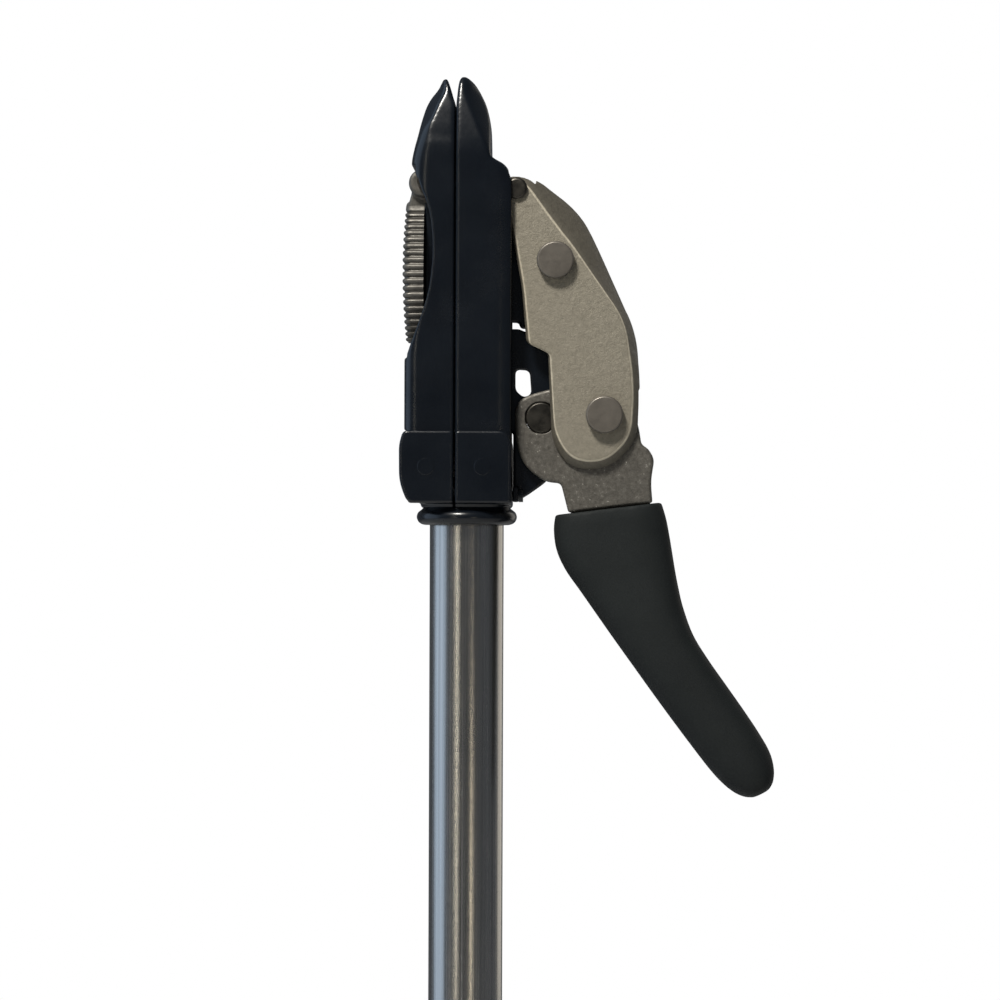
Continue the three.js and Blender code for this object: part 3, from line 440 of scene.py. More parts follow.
BRACKET_CORNERS = [
    (11, 66.2, 1), (17.4, 66.2, 0.6), (30.5, 60.8, 2), (29, 49, 3), (36.4, 42, 6), (36.6, 27, 6),
    (26.8, 14.6, 2.5), (20.4, 10, 2), (16.8, 8, 1), (15.6, 8.6, 0.8), (15.6, 31, 0.8),
    (11, 33.4, 1.5),
]
WINDOW_CORNERS = [
    (16.3, 52.6, 1.6), (21.1, 52.3, 1.8), (21.7, 44.2, 1.6), (19.2, 43.1, 1.2), (16.3, 45.4, 1.6),
]


def housing(name, corners, x0, x1):
    """One half: two cheeks, a base from x0 to x1 with the tube's socket, and half of the neck."""
    points = outline(corners, 6)
    front = plate("front", points, -CHEEK_OUTER, -CHEEK_INNER, 0.8)
    back = plate("back", points, CHEEK_INNER, CHEEK_OUTER, 0.8)
    base_half = CHEEK_OUTER - BASE_STEP
    base = block("base", x0, x1, -base_half, base_half, BASE_FLOOR, BASE_TOP)
    other_side = (x1, FAR) if x1 < SEAM_X else (-FAR, x0)
    neck = cut(turned("neck", NECK), block("half", *other_side, -FAR, FAR, 0, FAR))
    bore, bore_top = TUBE_RADIUS + 0.1, TUBE_TOP + 0.2
    socket = turned("socket", [(0, 0), (bore, 0), (bore, bore_top), (0, bore_top)])
    return soften(merge(name, front, back, cut(base, socket), neck), voxel=0.36, passes=3)


def left_housing():
    return housing("left_housing_shell", LEFT_CHEEK, BASE_LEFT, SEAM_LEFT)


def right_housing():
    return housing("right_housing_shell", RIGHT_CHEEK, SEAM_RIGHT, BASE_RIGHT)


def bracket():
    body = cut(
        plate("plate", outline(BRACKET_CORNERS, 8), -BRACKET_HALF, BRACKET_HALF, 0.5),
        plate("window", outline(WINDOW_CORNERS, 8), -FAR, FAR),
        bar_y("hole", LEVER_PIVOT, STUD_RADIUS + 0.07, -FAR, FAR),
    )
    foot_half = 9
    foot = block("foot", 15.6, 17.4, -foot_half, foot_half, BASE_FLOOR + 0.4, 13)
    return soften(merge("bracket_body", body, foot), voxel=0.36, passes=3)


# ---- Hood and lever -----------------------------------------------------------------------------------

CHEEK_FLAT = [
    (13.6, 115.8, 2.4), (19.6, 114.2, 3), (28.2, 102.2, 5), (36.6, 91.7, 5), (53, 68.6, 7),
    (55.8, 46, 8), (54.6, 29.4, 9), (45.8, 21.6, 8), (35, 22.6, 8), (29.8, 32, 4),
    (28.3, 57.2, 1.4), (21.4, 60.6, 1.4), (19.6, 80, 4), (14.4, 109.6, 2),
]
HOOD_SIDE = [
    (12.3, 117.2, 3.4), (22.6, 117, 5), (38.4, 105.2, 9), (45.2, 91, 8), (57.1, 64.4, 7),
    (58.4, 45, 8), (57.8, 27, 9), (47.6, 16.6, 8), (32.8, 17, 8), (28.2, 29, 4),
    (27.3, 58, 1.4), (20, 61.2, 1.4), (18.5, 80, 4), (12.5, 109, 2.6),
]
HOOD_HOLLOW = [
    (-30, 130, 0), (22.6, 130, 0), (23.2, 111, 3), (32.6, 101.6, 5), (39.4, 88.6, 5), (53.4, 61, 6),
    (55.2, 47, 1), (80, 36, 0), (80, -20, 0), (-30, -20, 0),
]
LEVER_CORNERS = [
    (25.6, 45.4, 5), (16.2, 42, 8), (16.4, 28, 5), (19.6, 19.4, 6), (26.6, 14.6, 4), (31.8, 14.2, 1.5),
    (34.3, 4.35, 0.6), (62.6, 7.8, 0.6), (62, 15, 3), (63.2, 22.4, 2.2), (61.2, 25.8, 1.2),
    (58.8, 27.4, 1), (57.6, 35, 4), (51.4, 46.4, 6), (38, 47.4, 6),
]
TANG_CORNERS = [
    (35.4, 10, 1), (35.6, -1, 4), (39, -12, 8), (52, -31, 10), (76, -64, 3), (82.5, -59.4, 3),
    (67.4, -34, 10), (64.6, -14, 8), (62, 2, 4), (61, 12, 1),
]
TANG_HALF = 5.6
CHAMFER_SHARE = 0.62  # of the fall from the flat cheek to the outline, the rest is round
CROWN_SLOPE = 1.15  # depth of the crown for each millimetre that the outline stands outside the cheek


def crown_reach(drop):
    """How far out the surface has come once it has fallen by drop: 0 at the flat cheek, 1 at the outline."""
    low, high = 0.0, 1.0
    for _ in range(24):
        reach = (low + high) / 2
        fall = CHAMFER_SHARE * reach + (1 - CHAMFER_SHARE) * (1 - math.sqrt(1 - reach ** 2))
        if fall < drop:
            low = reach
        else:
            high = reach
    return low


def hood():
    """A hollow casting: a flat cheek on each side, and a crown that falls away from it to the outline."""
    flat = outline(CHEEK_FLAT, 7)
    side = outline(HOOD_SIDE, 7)
    depths = [0, 0.4, 0.9, 1.4, 2, 2.8, 3.8, 5, 6.4, 8, 9.5, HOOD_OUTER]
    levels = [d - HOOD_OUTER for d in depths] + [HOOD_OUTER - d for d in reversed(depths[:-1])]
    rings = []
    for y in levels:
        ring = []
        for p, q in zip(flat, side):
            spread = q - p
            crown = min(HOOD_OUTER, CROWN_SLOPE * spread.length + 0.4)
            at = p + spread * crown_reach(min(1, (HOOD_OUTER - abs(y)) / crown))
            ring.append((at.x, y, at.y))
        rings.append(ring)
    whole = cut(
        skin("hood_body", rings),
        plate("hollow", outline(HOOD_HOLLOW, 6), -HOOD_INNER, HOOD_INNER),
        bar_y("eye", HOOD_PIVOT, EYE_PIN_RADIUS + 0.3, -FAR, FAR),
    )
    return soften(whole, voxel=0.42, passes=3)


def lever():
    body = cut(
        plate("web", outline(LEVER_CORNERS, 8), -LEVER_HALF, LEVER_HALF, 0.9),
        block("slot", -FAR, 38.2, -FORK_INNER, FORK_INNER, 11.6, FAR),
        bar_y("pivot", LEVER_PIVOT, STUD_RADIUS + 0.12, -FAR, FAR),
    )
    tang = plate("tang", outline(TANG_CORNERS, 6), -TANG_HALF, TANG_HALF)
    return soften(merge("lever_body", body, tang), voxel=0.4, passes=3)


# ---- Grip ---------------------------------------------------------------------------------------------

# The left and right edges, (left x, left h, right x, right h), from the lever down to the round end.
GRIP_PAIRS = [
    (29.9, 3.5, 65.7, 7.9), (29.4, -1.7, 67.4, 2.2), (30.4, -8.5, 68.6, -4), (33.5, -15.2, 69.6, -10),
    (38.3, -22, 70.5, -15.4), (44, -30.1, 71.6, -21), (50, -38.6, 73.2, -27.6), (57.5, -49, 76.6, -36.8),
    (64, -58, 81.9, -45.4), (70.5, -66.8, 88, -54), (77, -75.4, 94, -62.5), (82.5, -82.4, 99, -70),
    (86.6, -86.8, 102.5, -76.2), (90.4, -89.8, 103.95, -81.6), (93.8, -91.3, 103.75, -86),
    (96.9, -91.6, 102.4, -88.8),
]
GRIP_HALF = 9.6


def along(points, t):
    """A point on the smooth curve through points, with t from 0 to 1."""
    spans = len(points) - 1
    i = min(int(t * spans), spans - 1)
    u = t * spans - i
    p1, p2 = points[i], points[i + 1]
    p0 = points[i - 1] if i > 0 else p1 * 2 - p2
    p3 = points[i + 2] if i + 2 <= spans else p2 * 2 - p1
    return 0.5 * (p1 * 2 + (p2 - p0) * u + (p0 * 2 - p1 * 5 + p2 * 4 - p3) * u * u
                  + (p1 * 3 - p0 - p2 * 3 + p3) * u ** 3)


def grip():
    left = [Vector((x, h)) for x, h, _, _ in GRIP_PAIRS]
    right = [Vector((x, h)) for _, _, x, h in GRIP_PAIRS]
    spans = len(GRIP_PAIRS) - 1
    count, sides = spans * 8, 56
    rings = []
    for k in range(count + 1):
        t = k / count
        a, b = along(left, t), along(right, t)
        middle, half = (a + b) / 2, (b - a) / 2
        tip = min(1, ((1 - t) * spans + 0.35) / 4.4)
        top = min(1, (t * spans + 0.5) / 1.1)
        depth = GRIP_HALF * math.sqrt(1 - (1 - tip) ** 2) * (0.93 + 0.07 * top)
        power = 2 / (2.7 - 0.6 * t)
        ring = []
        for i in range(sides):
            angle = 2 * math.pi * (i + 0.5) / sides
            across = math.copysign(abs(math.cos(angle)) ** power, math.cos(angle))
            deep = math.copysign(abs(math.sin(angle)) ** power, math.sin(angle))
            at = middle + half * across
            ring.append((at.x, depth * deep, at.y))
        rings.append(ring)
    return soften(skin("grip_sleeve", rings), voxel=0.7, passes=4)


# ---- Thumb trigger ------------------------------------------------------------------------------------

RIB_COUNT = 20
TRIGGER_LOW = 61.5
RIBS_HIGH = 105.2
TRIGGER_MIDDLE = 85.15
TRIGGER_CROWN = 34
TRIGGER_HALF = 12.4
TRIGGER_LEFT = -21.6
TRIGGER_RIGHT = -14.5
NECK_HALF = 5.2
ARM_HALF = 6
ARM_LOW = 63
ARM_HIGH = 108.4

# One rib and its groove, as (share of the pitch, how far the surface is pulled in).
RIB_SHAPE = [
    (0.0, 0.7), (0.14, 0.75), (0.28, 0.42), (0.42, 0.08), (0.6, 0.0), (0.78, 0.1), (0.9, 0.4),
]
# The plain shoulder over the ribs, as (height, how far the surface is pulled in).
SHOULDER = [
    (105.3, 0.6), (105.6, 0.25), (106.2, 0.02), (107.4, 0.0), (108.4, 0.15), (109.0, 0.6), (109.4, 1.3),
]


def trigger_ring(h, pull, steps=6):
    away = h - TRIGGER_MIDDLE
    fall = TRIGGER_CROWN - math.sqrt(TRIGGER_CROWN ** 2 - away ** 2)
    half = TRIGGER_HALF - 0.85 * fall - pull
    left = TRIGGER_LEFT + 0.9 * (away / 23) ** 2 + pull
    curve = min(2.4, half * 0.6)
    front = [(TRIGGER_RIGHT, -half)]
    for k in range(steps + 1):
        angle = math.pi / 2 * k / steps
        front.append((left + curve * (1 - math.sin(angle)), -half + curve * (1 - math.cos(angle))))
    return mirrored(front, h)


def thumb_trigger():
    low = math.asin((TRIGGER_LOW - TRIGGER_MIDDLE) / TRIGGER_CROWN)
    step = (math.asin((RIBS_HIGH - TRIGGER_MIDDLE) / TRIGGER_CROWN) - low) / RIB_COUNT
    rings = []
    for rib in range(RIB_COUNT):
        for at, pull in RIB_SHAPE:
            h = TRIGGER_MIDDLE + TRIGGER_CROWN * math.sin(low + (rib + at) * step)
            rings.append(trigger_ring(h, pull))
    rings += [trigger_ring(h, pull) for h, pull in SHOULDER]
    ribs = shade(skin("ribs", rings), 50)
    knuckle = turned("knuckle", [(0, -8.4), (4.7, -8.4), (4.7, 8.4), (0, 8.4)], TRIGGER_PIVOT, radius=1.4)
    neck = plate("neck", outline([
        (-20.2, 107, 1), (-18.9, 111.5, 1), (-18.6, 114, 0.5), (-12, 114, 1), (-12, 109, 2),
        (TRIGGER_RIGHT, 105.4, 0.5),
    ], 4), -NECK_HALF, NECK_HALF, 0.8)
    top = soften(merge("top", knuckle, neck), voxel=0.3, passes=5)
    return merge("trigger_body", ribs, top)


def trigger_arm():
    edge = TRIGGER_RIGHT + 0.3
    arm = plate("arm", outline([
        (edge, ARM_LOW, 0.5), (-12.2, ARM_LOW, 1), (-11.2, 76, 6), (-10.8, 92, 6),
        (-10.9, ARM_HIGH, 1.5), (edge, ARM_HIGH, 0.5),
    ], 6), -ARM_HALF, ARM_HALF, 0.5)
    return shade(arm, 40)


# ---- Turned pieces and springs ------------------------------------------------------------------------

def rivet(name, pivot, thick):
    """A rivet through both cheeks of the hood, with a flat head of that thickness on each."""
    shaft, head, chamfer = RIVET_SHAFT, RIVET_HEAD, 0.5
    face = HOOD_OUTER + 0.1
    top = face + thick
    return shade(turned(name, [
        (0, -top), (head - chamfer, -top), (head, -top + chamfer), (head, -face), (shaft, -face),
        (shaft, face), (head, face), (head, top - chamfer), (head - chamfer, top), (0, top),
    ], pivot, radius=0.3), 50)


def tie_rivet():
    return rivet("tie_rivet", TIE_PIN, 3.1)


def link_rivet():
    return rivet("link_rivet", LINK_PIVOT, 3.3)


def lever_stud():
    radius, chamfer = STUD_RADIUS, 0.5
    end = LEVER_HALF + 0.15
    return shade(turned("lever_pivot_stud", [
        (0, -end), (radius - chamfer, -end), (radius, -end + chamfer), (radius, end - chamfer),
        (radius - chamfer, end), (0, end),
    ], LEVER_PIVOT, radius=0.25), 50)


def hood_pin():
    shaft, head, rim = EYE_PIN_RADIUS, 3.6, 0.5
    crown = head - 0.7
    face = HOOD_OUTER + 0.2
    top = face + 1.4
    return shade(turned("hood_eye_pin", [
        (0, -top), (crown, -top), (head, -top + rim), (head, -face), (shaft, -face),
        (shaft, face), (head, face), (head, top - rim), (crown, top), (0, top),
    ], HOOD_PIVOT, radius=0.25), 50)


CAP_FLOOR = 2.7


def pole_tube():
    inner = TUBE_RADIUS - TUBE_WALL
    bottom = CAP_FLOOR + 0.3 - HEAD_Z / MM
    return shade(turned("brushed_pole", [
        (inner, bottom), (TUBE_RADIUS, bottom), (TUBE_RADIUS, TUBE_TOP), (inner, TUBE_TOP),
    ], sides=160, radius=0.3), 40)


def end_cap():
    """The cap on the pole's far end, with one shallow groove round it."""
    bottom = -HEAD_Z / MM
    bore = TUBE_RADIUS + 0.2
    outer = bore + 2
    groove = outer - 0.35
    top = bottom + 26
    return shade(turned("pole_foot", [
        (0, bottom), (outer - 1.6, bottom), (outer - 0.4, bottom + 0.5), (outer, bottom + 1.8),
        (outer, bottom + 8), (groove, bottom + 8.6), (groove, bottom + 9.6), (outer, bottom + 10.2),
        (outer, top - 2), (outer - 0.9, top), (bore, top),
        (bore, bottom + CAP_FLOOR), (0, bottom + CAP_FLOOR),
    ], sides=128, radius=0.4), 40)


def collar():
    """A round bead with a short neck over it, up to the housing."""
    bore = TUBE_RADIUS + 0.15
    neck, top = 14.6, 6.15
    return shade(turned("collar_bead", [
        (bore, 0), (neck, 0), (16.3, 0.8), (17.05, 2.6), (16.6, 4.2), (15, 5.4), (neck, top), (bore, top),
    ], sides=128, radius=1.1), 60)


def wire(name, points, radius):
    """A round wire through points in the head's frame, as a mesh."""
    curve = bpy.data.curves.new(name, "CURVE")
    curve.dimensions = "3D"
    curve.bevel_depth = radius * MM
    curve.bevel_resolution = 5
    curve.use_fill_caps = True
    spline = curve.splines.new("POLY")
    spline.points.add(len(points) - 1)
    for point, p in zip(spline.points, points):
        point.co = (*place(*p), 1)
    obj = new_object(name, curve)
    graph = bpy.context.evaluated_depsgraph_get()
    mesh = bpy.data.meshes.new_from_object(obj.evaluated_get(graph))
    bpy.data.objects.remove(obj)
    bpy.data.curves.remove(curve)
    mesh.shade_smooth()
    return new_object(name, mesh)


def return_spring():
    """A torsion spring round the tie rivet's sleeve, with a straight leg at each end."""
    turns, radius, first = 2.625, 6.2, 4
    last = first + 2.6
    steps = 30
    stops = [Vector((29.5, first, 66)), Vector((34.6, first, 78))]
    for i in range(steps + 1):
        t = i / steps
        angle = 2 * math.pi * turns * t
        stops.append(Vector((
            TIE_PIN[0] + radius * math.cos(angle),
            first + (last - first) * t,
            TIE_PIN[1] + radius * math.sin(angle),
        )))
    stops += [Vector((33, last, 76.8)), Vector((43.5, last, 66.5))]
    count = 400
    return wire("return_spring_wire", [along(stops, k / count) for k in range(count + 1)], 0.55)


def trigger_spring():
    """A coil spring along X between the left jaw's spine and the trigger."""
    start, end = LEFT_INNER - SPINE - 0.9, -15
    turns, radius, height = 5, 2.5, 72
    count = 240
    points = []
    for k in range(count + 1):
        t = k / count
        angle = 2 * math.pi * turns * t
        across, up = radius * math.cos(angle), radius * math.sin(angle)
        points.append((start + (end - start) * t, across, height + up))
    return wire("trigger_spring_wire", points, 0.42)


# ---- Surfaces -----------------------------------------------------------------------------------------

class Look:
    """A node material on the piece's own coordinates, in metres."""

    def __init__(self, name, **sockets):
        self.material = bpy.data.materials.new(name)
        self.material.use_nodes = True
        self.nodes = self.material.node_tree.nodes
        self.links = self.material.node_tree.links
        self.shader = next(n for n in self.nodes if n.type == "BSDF_PRINCIPLED")
        for label, value in sockets.items():
            self.shader.inputs[label.replace("_", " ")].default_value = value
        self.place = self.nodes.new("ShaderNodeTexCoord").outputs["Object"]

    def noise(self, scale, detail=3.0, roughness=0.5, stretch=(1, 1, 1)):
        mapping = self.nodes.new("ShaderNodeMapping")
        mapping.inputs["Scale"].default_value = stretch
        self.links.new(self.place, mapping.inputs["Vector"])
        node = self.nodes.new("ShaderNodeTexNoise")
        node.inputs["Scale"].default_value = scale
        node.inputs["Detail"].default_value = detail
        node.inputs["Roughness"].default_value = roughness
        self.links.new(mapping.outputs["Vector"], node.inputs["Vector"])
        return node.outputs["Fac"]

    def span(self, value, low, high, to_low, to_high):
        node = self.nodes.new("ShaderNodeMapRange")
        limits = {"From Min": low, "From Max": high, "To Min": to_low, "To Max": to_high}
        for label, number in limits.items():
            node.inputs[label].default_value = number
        self.links.new(value, node.inputs["Value"])
        return node.outputs["Result"]

    def sum(self, a, b, share):
        """The value a plus that share of b."""
        node = self.nodes.new("ShaderNodeMath")
        node.operation = "MULTIPLY_ADD"
        self.links.new(b, node.inputs[0])
        node.inputs[1].default_value = share
        self.links.new(a, node.inputs[2])
        return node.outputs["Value"]

    def tint(self, value, stops):
        node = self.nodes.new("ShaderNodeValToRGB")
        ramp = node.color_ramp
        ramp.elements[0].position, ramp.elements[0].color = stops[0][0], (*stops[0][1], 1)
        ramp.elements[1].position, ramp.elements[1].color = stops[-1][0], (*stops[-1][1], 1)
        for position, color in stops[1:-1]:
            ramp.elements.new(position).color = (*color, 1)
        self.links.new(value, node.inputs["Fac"])
        self.links.new(node.outputs["Color"], self.shader.inputs["Base Color"])
        return self

    def paint_light_and_shade_by_depth(self, stops):
        """Paints light and shade: multiplies the tint by a share set by how far the surface is from the
        middle plane.
        """
        # A share above one is a painted highlight, and a share below one is painted shade.
        low, high = stops[0][0], stops[-1][0]
        split = self.nodes.new("ShaderNodeSeparateXYZ")
        self.links.new(self.place, split.inputs["Vector"])
        away = self.nodes.new("ShaderNodeMath")
        away.operation = "ABSOLUTE"
        self.links.new(split.outputs["Y"], away.inputs[0])
        ramp = self.nodes.new("ShaderNodeValToRGB")
        for element, (depth, share) in zip(ramp.color_ramp.elements, (stops[0], stops[-1])):
            element.position, element.color = (depth - low) / (high - low), (share, share, share, 1)
        for depth, share in stops[1:-1]:
            ramp.color_ramp.elements.new((depth - low) / (high - low)).color = (share, share, share, 1)
        self.links.new(self.span(away.outputs["Value"], low * MM, high * MM, 0, 1), ramp.inputs["Fac"])
        tint = self.shader.inputs["Base Color"].links[0].from_socket
        blend = self.nodes.new("ShaderNodeMix")
        blend.data_type = "RGBA"
        blend.blend_type = "MULTIPLY"
        blend.inputs["Factor"].default_value = 1
        colors = [socket for socket in blend.inputs if socket.type == "RGBA"]
        self.links.new(tint, colors[0])
        self.links.new(ramp.outputs["Color"], colors[1])
        mixed = next(socket for socket in blend.outputs if socket.type == "RGBA")
        self.links.new(mixed, self.shader.inputs["Base Color"])
        return self

    def rough(self, value):
        self.links.new(value, self.shader.inputs["Roughness"])
        return self

    def bump(self, height, strength, distance):
        node = self.nodes.new("ShaderNodeBump")
        node.inputs["Strength"].default_value = strength
        node.inputs["Distance"].default_value = distance * MM
        self.links.new(height, node.inputs["Height"])
        self.links.new(node.outputs["Normal"], self.shader.inputs["Normal"])
        return self


def gloss_black():
    look = Look("gloss_black_paint", Specular_IOR_Level=0.4)
    cloud = look.noise(55, 5, 0.6)
    look.tint(cloud, [(0.3, (0.0022, 0.0036, 0.0062)), (0.7, (0.0048, 0.0068, 0.0102))])
    look.rough(look.span(look.sum(look.noise(42, 6, 0.65), look.noise(900, 2), 0.25), 0.4, 0.8, 0.19, 0.29))
    peel = look.sum(look.noise(170, 2), look.noise(1900, 3), 0.18)
    return look.bump(peel, 0.07, 0.22)


def brushed_steel():
    look = Look("brushed_pole_steel", Metallic=1.0)
    streaks = look.noise(1, 3, 0.5, stretch=(1500, 1500, 5))
    broad = look.noise(1, 3, 0.5, stretch=(420, 420, 3))
    both = look.sum(streaks, broad, 0.6)
    look.tint(both, [(0.55, (0.34, 0.325, 0.30)), (1.05, (0.50, 0.485, 0.46))])
    look.rough(look.span(look.sum(both, look.noise(70, 4), 0.3), 0.6, 1.2, 0.20, 0.29))
    return look.bump(streaks, 0.012, 0.04)


def warm_cast():
    """The hood's cast metal: a ground cheek, a painted highlight along its edge and painted shade over the
    crown.
    """
    look = Look("warm_cast_metal", Metallic=0.3)
    grain = 1400
    patches = look.sum(look.noise(620, 4, 0.65), look.noise(grain, 4, 0.7), 0.8)
    look.tint(patches, [(0.6, (0.24, 0.217, 0.17)), (1.2, (0.31, 0.282, 0.223))])
    look.rough(look.span(look.noise(grain * 0.6, 4, 0.6), 0.3, 0.7, 0.42, 0.62))
    # Painted light by depth: a bright painted highlight on the flat cheek's edge and painted shade over the
    # crown.
    look.paint_light_and_shade_by_depth([(8.6, 0.40), (10.35, 0.5), (10.6, 2.0), (10.86, 2.0), (10.96, 0.8)])
    lumps = look.sum(look.noise(320, 5, 0.7), look.noise(grain, 4, 0.75), 0.6)
    return look.bump(lumps, 0.75, 0.35)


def sparkling_cast():
    look = Look("dark_cast_grain_and_painted_glints", Metallic=0.45)
    grain = look.noise(900, 4, 0.75)
    # The grain sets the cast tone; its brightest specks are painted glints, bright in the colour itself.
    look.tint(grain, [
        (0.34, (0.075, 0.069, 0.060)), (0.58, (0.125, 0.117, 0.102)), (0.655, (0.15, 0.142, 0.126)),
        (0.70, (0.62, 0.59, 0.53)),
    ])
    look.rough(look.span(look.noise(480, 3, 0.7), 0.35, 0.65, 0.42, 0.62))
    return look.bump(look.sum(grain, look.noise(300, 4, 0.6), 0.8), 0.45, 0.25)


def machined(name, dark, light, roughness, metallic=1.0):
    look = Look(name, Metallic=metallic)
    wear = look.sum(look.noise(90, 3, 0.5), look.noise(1500, 3), 0.2)
    look.tint(wear, [(0.35, dark), (0.9, light)])
    look.rough(look.span(look.noise(350, 4), 0.35, 0.65, *roughness))
    return look.bump(look.noise(1300, 3, 0.6), 0.12, 0.08)


def ribbed_metal():
    look = Look("ribbed_grey_metal", Metallic=0.75)
    wear = look.sum(look.noise(240, 5, 0.65), look.noise(1400, 3), 0.4)
    look.tint(wear, [(0.5, (0.075, 0.071, 0.064)), (0.95, (0.15, 0.142, 0.128))])
    look.rough(look.span(look.noise(500, 4), 0.35, 0.65, 0.42, 0.58))
    return look.bump(look.noise(1100, 4, 0.7), 0.25, 0.12)


def matt_rubber(name, dark, light, roughness, grain, strength):
    look = Look(name, Specular_IOR_Level=0.22)
    cloud = look.sum(look.noise(38, 5, 0.6), look.noise(grain, 3), 0.4)
    look.tint(cloud, [(0.5, dark), (0.95, light)])
    look.rough(look.span(look.noise(90, 4, 0.6), 0.3, 0.7, *roughness))
    return look.bump(look.sum(look.noise(grain, 4, 0.7), look.noise(150, 3), 0.5), strength, 0.18)


LOOKS = {
    "gloss_black": gloss_black(),
    "brushed_tube": brushed_steel(),
    "warm_cast_metal": warm_cast(),
    "dark_cast_metal": sparkling_cast(),
    "pin_steel": machined(
        "pin_steel", (0.115, 0.103, 0.088), (0.165, 0.149, 0.128), roughness=(0.34, 0.46), metallic=0.5),
    "dark_steel": machined(
        "dark_steel", (0.045, 0.042, 0.037), (0.085, 0.079, 0.069), roughness=(0.34, 0.48)),
    "spring_steel": machined(
        "spring_steel", (0.16, 0.16, 0.165), (0.34, 0.345, 0.355), roughness=(0.24, 0.38)),
    "ribbed_grey": ribbed_metal(),
    "black_vinyl": matt_rubber(
        "black_vinyl", (0.008, 0.0102, 0.0108), (0.0128, 0.0156, 0.0162),
        roughness=(0.6, 0.78), grain=1500, strength=0.34),
    "pad_rubber": matt_rubber(
        "pad_rubber", (0.014, 0.015, 0.016), (0.03, 0.032, 0.034),
        roughness=(0.66, 0.85), grain=1200, strength=0.4),
}


def dress(obj, slot):
    obj.data.materials.clear()
    obj.data.materials.append(LOOKS[slot].material)


def stand_for(obj, node, body, slot):
    """A smooth piece takes the place of a CAD node."""
    dress(obj, slot)
    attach(obj, body)
    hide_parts(node)


# ---- Pieces -------------------------------------------------------------------------------------------

slot_of = {part["node"]: part["material_slot"] for part in frame["record"]["subparts"]}
# Steel pieces that are painted over with the housing.
PAINTED = ("left_jaw_pin", "right_jaw_pin", "bracket_screw_front", "bracket_screw_rear")
for node, obj in frame["nodes"].items():
    dress(obj, "gloss_black" if node in PAINTED else slot_of[node])
    for face in obj.data.polygons:
        face.use_smooth = True
    split = obj.modifiers.new("crisp_edges", "EDGE_SPLIT")
    split.split_angle = math.radians(32)

# What draws each smooth piece, the CAD node whose place it takes and the body it rides with.
PIECES = [
    (pole_tube, "pole_tube", "pole"),
    (end_cap, "pole_end_cap", "pole"),
    (collar, "collar_ring", "pole"),
    (left_housing, "left_housing", "pole"),
    (right_housing, "right_housing", "pole"),
    (bracket, "lever_bracket", "pole"),
    (lever_stud, "lever_pivot_pin", "pole"),
    (left_jaw, "left_jaw_shell", "left_jaw"),
    (trigger_spring, "trigger_spring", "left_jaw"),
    (thumb_trigger, "thumb_trigger", "trigger"),
    (trigger_arm, "trigger_arm", "trigger"),
    (right_jaw, "right_jaw_shell", "right_jaw"),
    (hood_pin, "hood_pivot_pin", "right_jaw"),
    (lever, "lever_casting", "lever"),
    (grip, "lever_grip", "lever"),
    (hood, "hood_casting", "hood"),
    (tie_rivet, "hood_tie_pin", "hood"),
    (link_rivet, "link_pin", "hood"),
    (return_spring, "return_spring", "hood"),
]
for make, node, body in PIECES:
    stand_for(make(), node, body, slot_of[node])


# ---- Floor, light and camera --------------------------------------------------------------------------

FOCUS = Vector((0.0112, 0.0, 0.5185))

# Name, azimuth in degrees, distance, height, size, watts, color.
LIGHTS = [
    ("key", -27, 0.78, 1.5, (0.22, 0.22), 21, (1.0, 0.965, 0.90)),
    ("left_window", -90, 1.0, 0.8, (0.9, 1.4), 4.2, (0.60, 0.77, 1.0)),
    ("warm_strip_left", -28, 1.6, 0.75, (0.06, 1.3), 1.5, (1.0, 0.93, 0.76)),
    ("warm_strip_right", 18, 1.6, 0.3, (0.05, 0.4), 0.5, (1.0, 0.88, 0.66)),
    ("right_room", 135, 1.3, 0.7, (0.7, 1.1), 2.0, (1.0, 0.94, 0.84)),
]


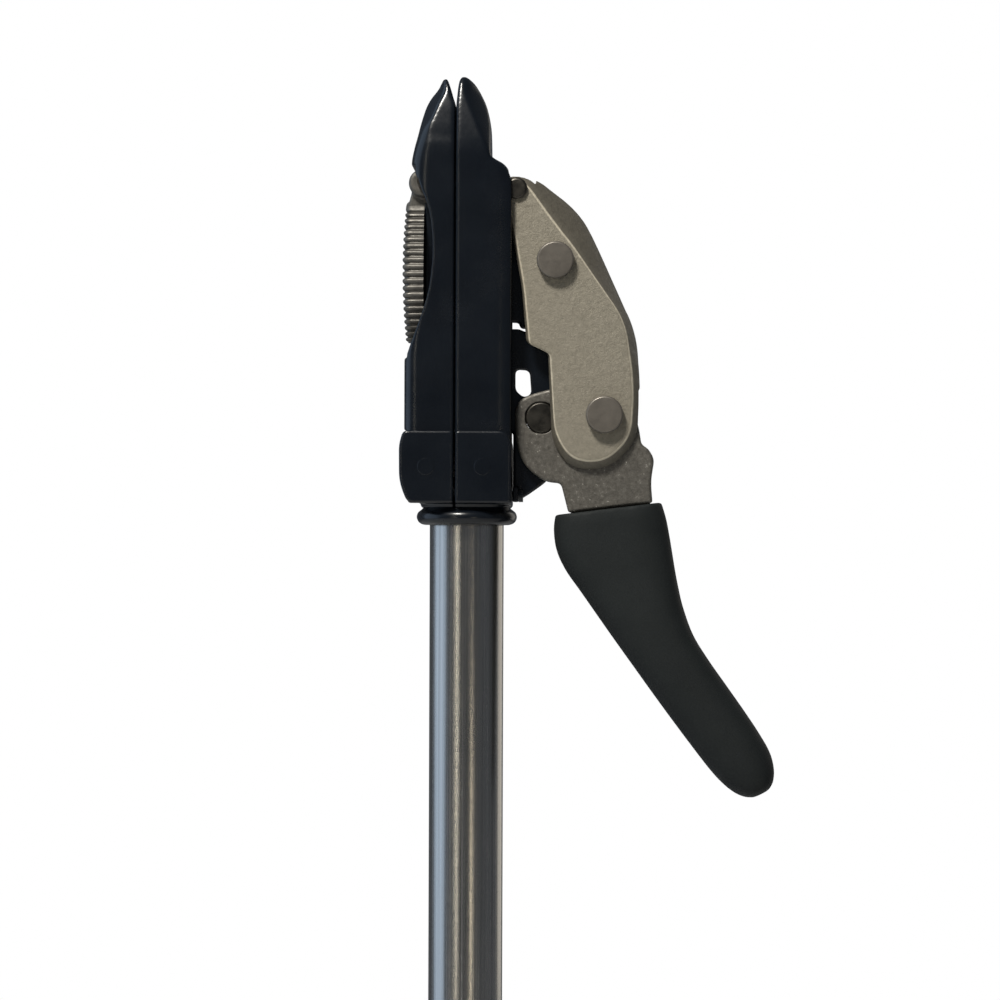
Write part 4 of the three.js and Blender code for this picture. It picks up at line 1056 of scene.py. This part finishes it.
def floor():
    mesh = bpy.data.meshes.new("floor")
    shape = bmesh.new()
    bmesh.ops.create_circle(shape, cap_ends=True, segments=96, radius=1.6)
    shape.to_mesh(mesh)
    shape.free()
    obj = new_object("floor", mesh)
    obj.location.z = -0.5 * MM
    look = Look("pale_floor", Roughness=0.8)
    look.tint(look.noise(6, 3), [(0.3, (0.78, 0.78, 0.77)), (0.7, (0.84, 0.84, 0.83))])
    mesh.materials.append(look.material)


def softbox(name, azimuth, distance, height, size, watts, color):
    """An area light round the head: azimuth 0 is in front, positive to the right."""
    data = bpy.data.lights.new(name, "AREA")
    data.shape = "RECTANGLE"
    data.size, data.size_y = size
    data.energy = watts
    data.color = color
    obj = new_object(name, data)
    a = math.radians(azimuth)
    obj.location = (FOCUS.x + distance * math.sin(a), -distance * math.cos(a), height)
    aim = Vector((FOCUS.x, 0, min(height, FOCUS.z + 0.1))) - obj.location
    obj.rotation_euler = aim.to_track_quat("-Z", "Y").to_euler()


def world():
    """A white backdrop for the camera, and a faint blue fill for everything else."""
    sky = bpy.data.worlds.new("studio")
    bpy.context.scene.world = sky
    sky.use_nodes = True
    nodes, links = sky.node_tree.nodes, sky.node_tree.links
    seen = nodes["Background"]
    seen.inputs["Color"].default_value = (1, 1, 1, 1)
    fill = nodes.new("ShaderNodeBackground")
    fill.inputs["Color"].default_value = (0.80, 0.88, 1.0, 1)
    fill.inputs["Strength"].default_value = 0.11
    mix = nodes.new("ShaderNodeMixShader")
    path = nodes.new("ShaderNodeLightPath")
    links.new(path.outputs["Is Camera Ray"], mix.inputs["Fac"])
    links.new(fill.outputs["Background"], mix.inputs[1])
    links.new(seen.outputs["Background"], mix.inputs[2])
    links.new(mix.outputs["Shader"], nodes["World Output"].inputs["Surface"])


def camera():
    data = bpy.data.cameras.new("camera")
    data.sensor_width = 36
    data.lens = 127.8
    obj = new_object("camera", data)
    distance, azimuth, roll = 1.2, math.radians(1.2), math.radians(0.2)
    obj.location = FOCUS + Vector((distance * math.sin(azimuth), -distance * math.cos(azimuth), 0))
    aim = (FOCUS - obj.location).to_track_quat("-Z", "Y")
    obj.rotation_euler = (aim.to_matrix() @ Euler((0, 0, roll)).to_matrix()).to_euler()
    bpy.context.scene.camera = obj


floor()
world()
for light in LIGHTS:
    softbox(*light)
camera()
bpy.context.scene.view_settings.view_transform = "Standard"
